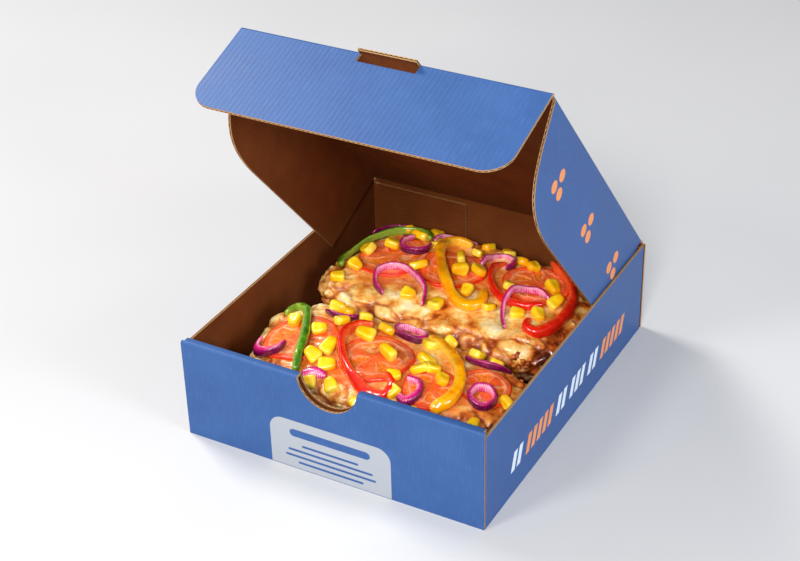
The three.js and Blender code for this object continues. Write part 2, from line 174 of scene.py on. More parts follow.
class Gather:
    """Collects grids of points into one mesh, with material numbers and surface coordinates."""

    def __init__(self) -> None:
        """Starts empty."""
        self.points: list[Points] = []
        self.faces: list[Points] = []
        self.slots: list[Points] = []
        self.coords: list[Points] = []
        self.marks: dict[str, list[Points]] = {}
        self.count = 0

    def grid(self, points: Points, slot: int = 0, coords: Points | None = None, wrap: bool = False,
             flip: bool = False, marks: dict[str, Points] | None = None) -> None:
        """Adds a grid of quads.

        Args:
            points: (rows, columns, 3), in millimetres.
            slot: material number of the faces.
            coords: (rows, columns, 2) surface coordinates.
            wrap: whether the last row joins the first.
            flip: whether the faces look the other way.
            marks: named values, (rows, columns), for the material to read.
        """
        rows, columns = points.shape[:2]
        index = np.arange(rows * columns).reshape(rows, columns) + self.count
        if wrap:
            index = np.vstack([index, index[:1]])
        corners = [index[:-1, :-1], index[1:, :-1], index[1:, 1:], index[:-1, 1:]]
        quads = np.stack(corners, -1).reshape(-1, 4)
        if flip:
            quads = quads[:, ::-1]
        self.points.append(points.reshape(-1, 3))
        self.faces.append(quads)
        self.slots.append(np.full(len(quads), slot))
        flat = np.zeros((rows * columns, 2)) if coords is None else coords.reshape(-1, 2)
        self.coords.append(flat)
        for name in sorted(set(self.marks) | set(marks or {})):
            column = self.marks.setdefault(name, [np.zeros(self.count)] if self.count else [])
            given = (marks or {}).get(name)
            column.append(np.zeros(rows * columns) if given is None else given.reshape(-1))
        self.count += rows * columns

    def slab(self, top: Points, bottom: Points, slots: tuple[int, int, int],
             coords: Points | None = None) -> None:
        """Adds a closed plate between two grids.

        Args:
            top, bottom: (rows, columns, 3) grids of the two faces.
            slots: material numbers of the top, the bottom and the cut edges.
            coords: surface coordinates shared by both faces.
        """
        self.grid(top, slots[0], coords)
        self.grid(bottom, slots[1], coords, flip=True)
        for edge in (np.s_[0, :], np.s_[-1, :], np.s_[:, 0], np.s_[:, -1]):
            strip = np.stack([top[edge], bottom[edge]], 1)
            strip_coords = None if coords is None else np.stack([coords[edge], coords[edge]], 1)
            self.grid(strip, slots[2], strip_coords, flip=edge in (np.s_[-1, :], np.s_[:, 0]))

    def build(self, name: str, materials: Sequence[bpy.types.Material],
              sharp: float = 35) -> bpy.types.Object:
        """Makes the mesh and its object.

        Args:
            name: the piece's name.
            materials: one for each material number.
            sharp: edges that turn by more degrees than this stay sharp.

        Returns:
            The object, at the origin, with doubles merged and faces pointing out.
        """
        points = np.concatenate(self.points) * MM
        faces = np.concatenate(self.faces)
        mesh = bpy.data.meshes.new(name)
        mesh.from_pydata(points.tolist(), [], faces.tolist())
        mesh.polygons.foreach_set("material_index", np.concatenate(self.slots).astype(np.int32))
        layer = mesh.uv_layers.new(name="surface")
        coords = np.concatenate(self.coords) * MM
        layer.data.foreach_set("uv", coords[faces.reshape(-1)].astype(np.float32).ravel())
        for mark, columns in self.marks.items():
            attribute = mesh.attributes.new(mark, "FLOAT", "POINT")
            attribute.data.foreach_set("value", np.concatenate(columns).astype(np.float32))
        merge_and_point_out(mesh)
        mesh.polygons.foreach_set("use_smooth", np.ones(len(mesh.polygons), bool))
        mesh.set_sharp_from_angle(angle=math.radians(sharp))
        for material in materials:
            mesh.materials.append(material)
        piece = bpy.data.objects.new(name, mesh)
        bpy.context.scene.collection.objects.link(piece)
        return piece


def merge_and_point_out(mesh: bpy.types.Mesh) -> None:
    """Merges doubled points and turns every closed shell's faces outwards."""
    work = bmesh.new()
    work.from_mesh(mesh)
    bmesh.ops.remove_doubles(work, verts=work.verts, dist=2e-6)
    bmesh.ops.dissolve_degenerate(work, edges=work.edges, dist=1e-7)
    bmesh.ops.recalc_face_normals(work, faces=work.faces)
    work.to_mesh(mesh)
    work.free()


def join_meshes(name: str, pieces: Sequence[bpy.types.Object]) -> bpy.types.Object:
    """Joins objects that share one list of materials.

    Args:
        name: the joined piece's name.
        pieces: the objects, of which the first one stays.

    Returns:
        The first object, renamed, holding every mesh.
    """
    work = bmesh.new()
    for piece in pieces:
        work.from_mesh(piece.data)
    work.to_mesh(pieces[0].data)
    work.free()
    for piece in pieces[1:]:
        bpy.data.objects.remove(piece)
    pieces[0].name = name
    pieces[0].data.name = name
    return pieces[0]


def carve(piece: bpy.types.Object, cutter: bpy.types.Object) -> None:
    """Cuts one closed mesh out of another and removes the cutter."""
    modifier = piece.modifiers.new("carve", "BOOLEAN")
    modifier.operation = "DIFFERENCE"
    modifier.solver = "EXACT"
    modifier.object = cutter
    bake_modifiers(piece)
    bpy.data.objects.remove(cutter)


def bake_modifiers(piece: bpy.types.Object) -> None:
    """Turns a piece and its modifiers into a plain mesh."""
    bpy.context.view_layer.update()
    graph = bpy.context.evaluated_depsgraph_get()
    mesh = bpy.data.meshes.new_from_object(piece.evaluated_get(graph), preserve_all_data_layers=True,
                                           depsgraph=graph)
    piece.modifiers.clear()
    piece.data = mesh


def finish_piece(piece: bpy.types.Object, body: str, nodes: Iterable[str] = ()) -> None:
    """Says which body a piece rides on, hides the nodes that it stands for, and logs it."""
    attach(piece, body)
    for node in nodes:
        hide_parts(node)
    LOG.info("%s: %d faces on %s", piece.name, len(piece.data.polygons), body)


# ---------------------------------------------------------------- materials
class Shade:
    """A node graph for one material, with short calls for the nodes that the finishes use."""

    def __init__(self, name: str) -> None:
        """Starts a material with a Principled shader and its output."""
        self.material = bpy.data.materials.new(name)
        self.material.use_nodes = True
        self.tree = self.material.node_tree
        self.tree.nodes.clear()
        self.output = self.tree.nodes.new("ShaderNodeOutputMaterial")
        self.shader = self.tree.nodes.new("ShaderNodeBsdfPrincipled")
        self.tree.links.new(self.shader.outputs["BSDF"], self.output.inputs["Surface"])

    def node(self, kind: str, inputs: dict | None = None, **settings: object) -> bpy.types.Node:
        """Adds a node.

        Args:
            kind: the node's type without its ShaderNode prefix.
            inputs: socket name or number to a value or another node's output.
            settings: the node's own properties.

        Returns:
            The node.
        """
        made = self.tree.nodes.new("ShaderNode" + kind)
        for key, value in settings.items():
            setattr(made, key, value)
        for key, value in (inputs or {}).items():
            self.feed(made.inputs[key], value)
        return made

    def feed(self, socket: bpy.types.NodeSocket, value: object) -> None:
        """Links an output to a socket, or sets the socket's value."""
        if isinstance(value, bpy.types.NodeSocket):
            self.tree.links.new(value, socket)
        else:
            socket.default_value = value

    def place(self) -> bpy.types.NodeSocket:
        """Object coordinates, in metres."""
        return self.node("TexCoord").outputs["Object"]

    def surface(self) -> bpy.types.NodeSocket:
        """The piece's own surface coordinates, in metres."""
        return self.node("UVMap", uv_map="surface").outputs["UV"]

    def mark(self, name: str) -> bpy.types.NodeSocket:
        """A named value stored on the mesh."""
        return self.node("Attribute", attribute_name=name).outputs["Fac"]

    def noise(self, vector: object, size_mm: float, detail: float = 3, rough: float = 0.55,
              distort: float = 0.0) -> bpy.types.NodeSocket:
        """Noise whose lumps are about size_mm wide."""
        inputs = {"Vector": vector, "Scale": 1 / (size_mm * MM), "Detail": detail, "Roughness": rough,
                  "Distortion": distort}
        return self.node("TexNoise", inputs).outputs["Fac"]

    def cells(self, vector: object, size_mm: float) -> bpy.types.NodeSocket:
        """Distance pattern of cells about size_mm wide."""
        return self.node("TexVoronoi", {"Vector": vector, "Scale": 1 / (size_mm * MM)}).outputs["Distance"]

    def stretched(self, vector: object, share: float) -> bpy.types.NodeSocket:
        """Coordinates that draw a pattern out along the second surface axis."""
        return self.node("Mapping", {"Vector": vector, "Scale": (1.0, share, 1.0)}).outputs["Vector"]

    def waves(self, vector: object, pitch_mm: float, axis: str, distort: float, coarse: float = 1.0
              ) -> bpy.types.NodeSocket:
        """Parallel ridges a given pitch apart along an axis, X or Y."""
        inputs = {"Vector": vector, "Scale": math.pi / (10 * pitch_mm * MM), "Distortion": distort,
                  "Detail": 1, "Detail Scale": coarse}
        return self.node("TexWave", inputs, bands_direction=axis).outputs["Fac"]

    def ramp(self, factor: object, stops: Sequence[tuple[float, tuple]]) -> bpy.types.NodeSocket:
        """A colour for each value of a factor, blended between stops."""
        made = self.node("ValToRGB", {"Fac": factor})
        elements = made.color_ramp.elements
        for number, (position, colour) in enumerate(stops):
            element = elements[number] if number < 2 else elements.new(position)
            element.position = position
            element.color = colour
        return made.outputs["Color"]

    def range(self, value: object, low: float, high: float, to_low: float = 0.0,
              to_high: float = 1.0) -> bpy.types.NodeSocket:
        """Maps a range of values onto another and clamps it."""
        inputs = {"Value": value, 1: low, 2: high, 3: to_low, 4: to_high}
        return self.node("MapRange", inputs).outputs["Result"]

    def math(self, operation: str, first: object, second: object = 0.0) -> bpy.types.NodeSocket:
        """Combines two values."""
        return self.node("Math", {0: first, 1: second}, operation=operation).outputs[0]

    def mix(self, factor: object, first: object, second: object) -> bpy.types.NodeSocket:
        """Blends two colours."""
        made = self.node("Mix", data_type="RGBA")
        self.feed(made.inputs[0], factor)
        self.feed(made.inputs[6], first)
        self.feed(made.inputs[7], second)
        return made.outputs[2]

    def bump(self, height: object, depth_mm: float, strength: float = 1.0,
             under: object | None = None) -> bpy.types.NodeSocket:
        """Relief of a given depth, on top of another relief."""
        inputs = {"Height": height, "Distance": depth_mm * MM, "Strength": strength}
        if under is not None:
            inputs["Normal"] = under
        return self.node("Bump", inputs).outputs["Normal"]

    def finish(self, **sockets: object) -> bpy.types.Material:
        """Feeds the shader's sockets and returns the material.

        Args:
            sockets: socket names with underscores for spaces, each a value or an output.

        Returns:
            The material.
        """
        for name, value in sockets.items():
            self.feed(self.shader.inputs[name.replace("_", " ")], value)
        return self.material



@dataclass(frozen=True)
class PrintedBoard:
    """Matt ink on a kraft liner, with the flutes just showing through."""

    ink: tuple = srgb(54, 91, 149)
    shade: tuple = srgb(48, 83, 140)
    tint: tuple = srgb(72, 110, 168)

    def material(self) -> bpy.types.Material:
        """Builds the ink's material."""
        s = Shade("printed_board")
        surface = s.surface()
        cloud = s.noise(surface, 34, 3)
        streak = s.noise(s.stretched(surface, 0.12), 1.1, 3)
        fibre = s.noise(surface, 0.45, 4, 0.7)
        colour = s.mix(s.range(cloud, 0.3, 0.7), self.shade, self.ink)
        colour = s.mix(s.range(streak, 0.5, 0.85, 0, 0.45), colour, self.tint)
        colour = s.mix(s.range(fibre, 0.62, 0.9, 0, 0.35), colour, self.tint)
        relief = s.bump(s.waves(surface, FLUTE_PITCH, "X", 0.4), 0.05, 0.6)
        relief = s.bump(fibre, 0.03, 0.5, relief)
        return s.finish(Base_Color=colour, Roughness=s.range(cloud, 0.2, 0.8, 0.38, 0.48), Normal=relief,
                        Specular_IOR_Level=0.22)


@dataclass(frozen=True)
class KraftLinerWithPaintedShade:
    """Brown liner of the box's inside, its colours darkened below real kraft as painted shade of the box's
    inside.
    """

    # Both browns are darkened to paint in the shade that fills the box's inside.
    light: tuple = srgb(118, 62, 24)
    dark: tuple = srgb(88, 40, 12)
    name: str = "kraft_liner_darkened_for_shade"

    def material(self) -> bpy.types.Material:
        """Builds the brown paper's material."""
        s = Shade(self.name)
        surface = s.surface()
        cloud = s.noise(surface, 22, 4)
        fibre = s.noise(s.stretched(surface, 0.2), 0.5, 4, 0.7)
        colour = s.mix(s.range(cloud, 0.1, 0.9), self.dark, self.light)
        colour = s.mix(s.range(fibre, 0.35, 0.8, 0, 0.4), colour, self.light)
        relief = s.bump(s.waves(surface, FLUTE_PITCH, "X", 0.5), 0.09, 0.6)
        relief = s.bump(fibre, 0.04, 0.5, relief)
        return s.finish(Base_Color=colour, Roughness=0.85, Normal=relief, Specular_IOR_Level=0.15)


@dataclass(frozen=True)
class FlatInk:
    """A plain field of ink or bare paper."""

    name: str
    colour: tuple
    speck: tuple

    def material(self) -> bpy.types.Material:
        """Builds the ink's material."""
        s = Shade(self.name)
        fibre = s.noise(s.place(), 0.6, 3, 0.7)
        colour = s.mix(s.range(fibre, 0.55, 0.85, 0, 0.5), self.colour, self.speck)
        return s.finish(Base_Color=colour, Roughness=0.62, Normal=s.bump(fibre, 0.03, 0.5),
                        Specular_IOR_Level=0.3)


@dataclass(frozen=True)
class BakedCheese:
    """Melted cheese over dough: cream where it is thick, golden to dark brown where baked, with painted shade
    in hollows and creases.
    """

    name: str = "baked_cheese"

    def material(self) -> bpy.types.Material:
        """Builds the cheese's material from `bake`, `oil` and the painted crease shade, all stored on the
        mesh.
        """
        s = Shade(self.name)
        place = s.place()
        blotch = s.noise(place, 9, 4, 0.55, 0.5)
        grain = s.noise(place, 1.6, 4, 0.65)
        fleck = s.cells(place, 2.6)
        bake = s.math("ADD", s.mark("bake"), s.range(blotch, 0.3, 0.72, -0.2, 0.22))
        bake = s.math("ADD", bake, s.range(grain, 0.3, 0.75, -0.07, 0.1))
        colour = s.ramp(bake, [
            (0.0, srgb(255, 240, 190)), (1.0, srgb(60, 14, 6)), (0.16, srgb(254, 220, 144)),
            (0.32, srgb(249, 188, 96)), (0.48, srgb(232, 142, 52)), (0.64, srgb(190, 86, 24)),
            (0.8, srgb(122, 40, 12)),
        ])
        colour = s.mix(s.math("MULTIPLY", s.mark("oil"), s.range(blotch, 0.25, 0.7, 0.45, 1.0)),
                       colour, srgb(244, 126, 50))
        spots = s.math("MULTIPLY", s.range(fleck, 0.0, 0.45, 1, 0), s.range(grain, 0.48, 0.62))
        colour = s.mix(s.math("MULTIPLY", spots, 0.7), colour, srgb(172, 84, 30))
        patch = s.noise(place, 6.5, 3, 0.6, 0.4)
        colour = s.mix(s.range(patch, 0.56, 0.72, 0, 0.6), colour, srgb(226, 132, 50))
        colour = s.mix(s.range(patch, 0.42, 0.28, 0, 0.45), colour, srgb(255, 234, 174))
        # Painted shade that darkens the creases between the lumps.
        colour = s.mix(s.math("MULTIPLY", s.mark("crease"), s.range(blotch, 0.3, 0.6, 0.2, 0.85)),
                       colour, srgb(132, 54, 16))
        relief = s.bump(blotch, 0.9, 0.6)
        relief = s.bump(patch, 0.6, 0.6, relief)
        relief = s.bump(grain, 0.4, 0.7, relief)
        relief = s.bump(s.noise(place, 0.55, 3, 0.6), 0.14, 0.6, relief)
        return s.finish(Base_Color=colour, Roughness=s.range(grain, 0.35, 0.7, 0.2, 0.46), Normal=relief,
                        Subsurface_Weight=0.1, Subsurface_Radius=(0.004, 0.0022, 0.001),
                        Subsurface_Scale=0.5, Specular_IOR_Level=0.6, Coat_Weight=0.5, Coat_Roughness=0.1)


@dataclass(frozen=True)
class TomatoFlesh:
    """Baked tomato slice: red skin at the rim, orange flesh and gel, pale pink walls."""

    def material(self) -> bpy.types.Material:
        """Builds the slice's material; `rim`, `gel` and `wall` are stored on the mesh."""
        s = Shade("tomato_flesh")
        place = s.place()
        blotch = s.noise(place, 7.5, 4, 0.6, 0.8)
        fine = s.noise(place, 1.4, 4, 0.65)
        flesh = s.ramp(blotch, [(0.25, srgb(236, 74, 28)), (0.75, srgb(251, 150, 92)),
                                (0.5, srgb(245, 106, 50))])
        gel = s.ramp(fine, [(0.3, srgb(236, 84, 16)), (0.75, srgb(252, 172, 78)),
                            (0.5, srgb(245, 122, 36))])
        colour = s.mix(s.mark("gel"), flesh, gel)
        walls = s.math("MULTIPLY", s.mark("wall"), s.range(blotch, 0.3, 0.65, 0.35, 0.95))
        colour = s.mix(walls, colour, srgb(252, 172, 128))
        colour = s.mix(s.range(s.mark("rim"), 0.2, 0.9, 0, 0.95), colour, srgb(232, 48, 16))
        relief = s.bump(blotch, 0.6, 0.5)
        relief = s.bump(fine, 0.35, 0.7, relief)
        return s.finish(Base_Color=colour, Roughness=s.range(fine, 0.35, 0.7, 0.14, 0.34), Normal=relief,
                        Subsurface_Weight=0.25, Subsurface_Radius=(0.006, 0.0025, 0.001),
                        Subsurface_Scale=0.5, Coat_Weight=0.35, Coat_Roughness=0.1)


@dataclass(frozen=True)
class PepperSkin:
    """Roasted pepper strip: glossy skin outside, paler flesh inside and at the cut ends."""

    name: str
    skin: tuple
    deep: tuple
    flesh: tuple

    def material(self) -> bpy.types.Material:
        """Builds the strip's material; `inner` is stored on the mesh."""
        s = Shade(self.name)
        place = s.place()
        cloud = s.noise(place, 9, 3)
        fine = s.noise(place, 1.8, 3)
        colour = s.mix(s.range(cloud, 0.35, 0.68), self.deep, self.skin)
        colour = s.mix(s.range(s.math("ADD", s.mark("inner"), s.range(fine, 0.3, 0.7, -0.15, 0.15)),
                               0.45, 0.95), colour, self.flesh)
        relief = s.bump(cloud, 0.6, 0.5)
        relief = s.bump(fine, 0.15, 0.5, relief)
        return s.finish(Base_Color=colour, Roughness=s.range(fine, 0.3, 0.7, 0.14, 0.26), Normal=relief,
                        Subsurface_Weight=0.15, Subsurface_Radius=(0.006, 0.0025, 0.0006),
                        Subsurface_Scale=0.5, Coat_Weight=0.6, Coat_Roughness=0.06)


@dataclass(frozen=True)
class OnionFlesh:
    """Red onion: deep magenta ribbed skin side, pink to white inside."""

    def material(self) -> bpy.types.Material:
        """Builds the onion's material; `inner` and surface coordinates are stored on the mesh."""
        s = Shade("onion_flesh")
        place = s.place()
        ribs = s.waves(s.surface(), 1.3, "Y", 1.6, 2.0)
        cloud = s.noise(place, 5, 3)
        edge = s.math("ADD", s.mark("inner"), s.range(ribs, 0.1, 0.9, -0.07, 0.09))
        edge = s.math("ADD", edge, s.range(cloud, 0.3, 0.7, -0.12, 0.14))
        colour = s.ramp(edge, [
            (0.0, srgb(84, 2, 54)), (1.0, srgb(246, 176, 200)), (0.3, srgb(140, 8, 86)),
            (0.56, srgb(196, 20, 108)), (0.8, srgb(218, 56, 130)), (0.94, srgb(236, 116, 168)),
        ])
        relief = s.bump(ribs, 0.22, 0.6)
        relief = s.bump(s.noise(place, 1.2, 3), 0.15, 0.5, relief)
        return s.finish(Base_Color=colour, Roughness=0.22, Normal=relief, Subsurface_Weight=0.12,
                        Subsurface_Radius=(0.004, 0.002, 0.002), Subsurface_Scale=0.5, Coat_Weight=0.4,
                        Coat_Roughness=0.1)


@dataclass(frozen=True)
class CornSkin:
    """Sweetcorn: shiny yellow skin, paler at the crown and deeper towards the cut tip."""

    def material(self) -> bpy.types.Material:
        """Builds the kernel's material; `tip` is stored on the mesh."""
        s = Shade("corn_skin")
        place = s.place()
        cloud = s.noise(place, 7, 2)
        fine = s.noise(place, 1.4, 3)
        colour = s.mix(s.range(cloud, 0.35, 0.65), srgb(255, 194, 6), srgb(255, 214, 34))
        colour = s.mix(s.range(s.mark("tip"), 0.45, 1.0, 0, 0.8), colour, srgb(252, 166, 6))
        colour = s.mix(s.range(s.mark("tip"), 0.3, 0.0, 0, 0.45), colour, srgb(255, 234, 104))
        relief = s.bump(fine, 0.14, 0.5)
        return s.finish(Base_Color=colour, Roughness=0.2, Normal=relief, Subsurface_Weight=0.2,
                        Subsurface_Radius=(0.004, 0.003, 0.0008), Subsurface_Scale=0.5, Coat_Weight=0.4,
                        Coat_Roughness=0.08)


# ---------------------------------------------------------------- corrugated board


class Ink(int, Enum):
    """Material numbers of every board piece."""

    PRINT = 0
    KRAFT = 1
    CUT = 2
    LABEL = 3
    ORANGE = 4
    WHITE = 5


class FlutesRun(Enum):
    """Which way the flutes run in a folded sheet."""

    ACROSS_FOLDS = 1
    ALONG_FOLDS = 2


@dataclass
class FoldedSheet:
    """A sheet of corrugated board folded along parallel creases.

    The board's middle follows `corners` in a section plane and is drawn out over `span` along the creases.
    """

    corners: Outline
    span: tuple[float, float]
    place: Place
    flutes: FlutesRun
    printed_left: bool = True
    bend: float = 1.3
    step: float = 9.0

    def __post_init__(self) -> None:
        """Works out the dense line of the board's middle, with its creases rounded."""
        line = [np.array(self.corners[0], float)]
        for before, corner, after in zip(self.corners, self.corners[1:], self.corners[2:]):
            corner_point = np.array(corner, float)
            inward = np.array(before, float) - corner_point
            onward = np.array(after, float) - corner_point
            inward /= np.linalg.norm(inward)
            onward /= np.linalg.norm(onward)
            half_turn = math.acos(float(np.clip(inward @ onward, -1, 1))) / 2
            reach = self.bend / math.tan(half_turn)
            centre = corner_point + (inward + onward) / np.linalg.norm(inward + onward) * (
                self.bend / math.sin(half_turn))
            first, last = corner_point + inward * reach - centre, corner_point + onward * reach - centre
            for share in np.linspace(0, 1, 7):
                spoke = first * (1 - share) + last * share
                line.append(centre + spoke / np.linalg.norm(spoke) * self.bend)
        line.append(np.array(self.corners[-1], float))
        self.line = np.array(line)
        steps = np.linalg.norm(np.diff(self.line, axis=0), axis=1)
        self.along = np.concatenate([[0], np.cumsum(steps)])
        self.length = float(self.along[-1])
        tangent = np.gradient(self.line, self.along, axis=0)
        tangent /= np.linalg.norm(tangent, axis=1)[:, None]
        sign = 1 if self.printed_left else -1
        self.normal = np.stack([-tangent[:, 1], tangent[:, 0]], 1) * sign

    def path_steps(self, fine: float | None = None) -> Points:
        """Distances along the section: the crease points and regular steps between them."""
        step = fine or self.step
        regular = np.linspace(0, self.length, max(2, int(round(self.length / step)) + 1))
        return regular if fine else np.unique(np.concatenate([regular, self.along]))

    def at(self, along: Points, across: Points, lift: Points | float) -> Points:
        """Positions on or beside the board's middle.

        Args:
            along: distances along the section.
            across: distances along the creases.
            lift: distance towards the printed side.

        Returns:
            Positions in the row frame, in millimetres.
        """
        p, q = (np.interp(along, self.along, self.line[:, axis]) for axis in (0, 1))
        n, m = (np.interp(along, self.along, self.normal[:, axis]) for axis in (0, 1))
        return self.place(p + n * lift, q + m * lift, across)

    def fill(self, gather: Gather) -> None:
        """Adds both liners and the fluted sheet between them."""
        across_flutes = self.flutes is FlutesRun.ACROSS_FOLDS
        span_steps = max(2, int((self.span[1] - self.span[0]) / self.step) + 1)
        along, across = np.meshgrid(self.path_steps(), np.linspace(*self.span, span_steps), indexing="ij")
        coords = np.stack([across, along] if across_flutes else [along, across], -1)
        half = BOARD / 2
        gather.slab(self.at(along, across, half), self.at(along, across, half - LINER),
                    (Ink.PRINT, Ink.KRAFT, Ink.CUT), coords)
        gather.slab(self.at(along, across, LINER - half), self.at(along, across, -half),
                    (Ink.KRAFT, Ink.KRAFT, Ink.CUT), coords)
        fine = FLUTE_PITCH / 8
        if across_flutes:
            count = int((self.span[1] - self.span[0]) / fine)
            along, across = np.meshgrid(self.path_steps(), np.linspace(*self.span, count), indexing="ij")
            phase = across
        else:
            count = max(3, int((self.span[1] - self.span[0]) / 60))
            steps = np.linspace(*self.span, count)
            along, across = np.meshgrid(self.path_steps(fine), steps, indexing="ij")
            phase = along
        rise = (half - LINER - FLUTE_SHEET / 2 - 0.02) * np.sin(2 * math.pi * phase / FLUTE_PITCH)
        gather.slab(self.at(along, across, rise + FLUTE_SHEET / 2),
                    self.at(along, across, rise - FLUTE_SHEET / 2), (Ink.CUT, Ink.CUT, Ink.CUT))

    def print_shape(self, gather: Gather, outline: Outline, ink: Ink) -> None:
        """Adds a printed shape, a film of ink that stands just proud of the liner.

        Args:
            gather: where the shape goes.
            outline: (along, across) corners of a convex shape.
            ink: its colour.
        """
        points = np.array(outline, float)
        centre = points.mean(0)
        rings = np.stack([centre + (points - centre) * share for share in (0.001, 1)], 1)
        top = self.at(rings[..., 0], rings[..., 1], BOARD / 2 + INK_LIFT)
        low = self.at(rings[..., 0], rings[..., 1], BOARD / 2 - 0.04)
        gather.grid(top, ink, rings, wrap=True)
        gather.grid(low, ink, rings, wrap=True, flip=True)
        gather.grid(np.stack([top[:, 1], low[:, 1]], 1), ink, wrap=True)


def prism(name: str, outline: Outline, low: float, high: float, place: Place) -> bpy.types.Object:
    """A closed cutter drawn out from an outline.

    Args:
        name: the cutter's name.
        outline: (p, q) corners.
        low, high: its two ends across the section plane.
        place: turns p, q and the distance across into the row frame.

    Returns:
        The cutter, whose faces take the cut paper's material.
    """
    points = np.array(outline, float)
    ends = [place(points[:, 0], points[:, 1], np.full(len(points), end)) * MM for end in (low, high)]
    count = len(points)
    faces = [list(range(count))[::-1], list(range(count, 2 * count))]
    faces += [[i, (i + 1) % count, count + (i + 1) % count, count + i] for i in range(count)]
    mesh = bpy.data.meshes.new(name)
    mesh.from_pydata(np.concatenate(ends).tolist(), [], faces)
    mesh.polygons.foreach_set("material_index", np.full(len(faces), int(Ink.CUT), np.int32))
    for _ in Ink:
        mesh.materials.append(None)
    merge_and_point_out(mesh)
    cutter = bpy.data.objects.new(name, mesh)
    bpy.context.scene.collection.objects.link(cutter)
    return cutter


def arc(centre: tuple[float, float], radius: float, start: float, end: float, count: int) -> Outline:
    """Points along an arc, angles in degrees."""
    angles = np.radians(np.linspace(start, end, count))
    return [(centre[0] + radius * math.cos(a), centre[1] + radius * math.sin(a)) for a in angles]


def rectangle(left: float, right: float, low: float, high: float) -> Outline:
    """The four corners of a rectangle."""
    return [(left, low), (right, low), (right, high), (left, high)]


def bezier(points: Sequence[tuple[float, float]], count: int) -> Outline:
    """Points along a cubic curve given by its four control points."""
    a, b, c, d = (np.array(point, float) for point in points)
    shares = np.linspace(0, 1, count)[:, None]
    curve = (a * (1 - shares) ** 3 + 3 * b * shares * (1 - shares) ** 2
             + 3 * c * shares ** 2 * (1 - shares) + d * shares ** 3)
    return [(float(p), float(q)) for p, q in curve]


def section_yz(p: Points, q: Points, across: Points) -> Points:
    """A section in the YZ plane, drawn out along X."""
    return np.stack([np.broadcast_to(across, np.shape(p)), p, q], -1)


def section_xz(p: Points, q: Points, across: Points) -> Points:
    """A section in the XZ plane, drawn out along Y."""
    return np.stack([p, np.broadcast_to(across, np.shape(p)), q], -1)


def section_xy(p: Points, q: Points, across: Points) -> Points:
    """A section in the XY plane, drawn out along Z."""
    return np.stack([p, q, np.broadcast_to(across, np.shape(p))], -1)


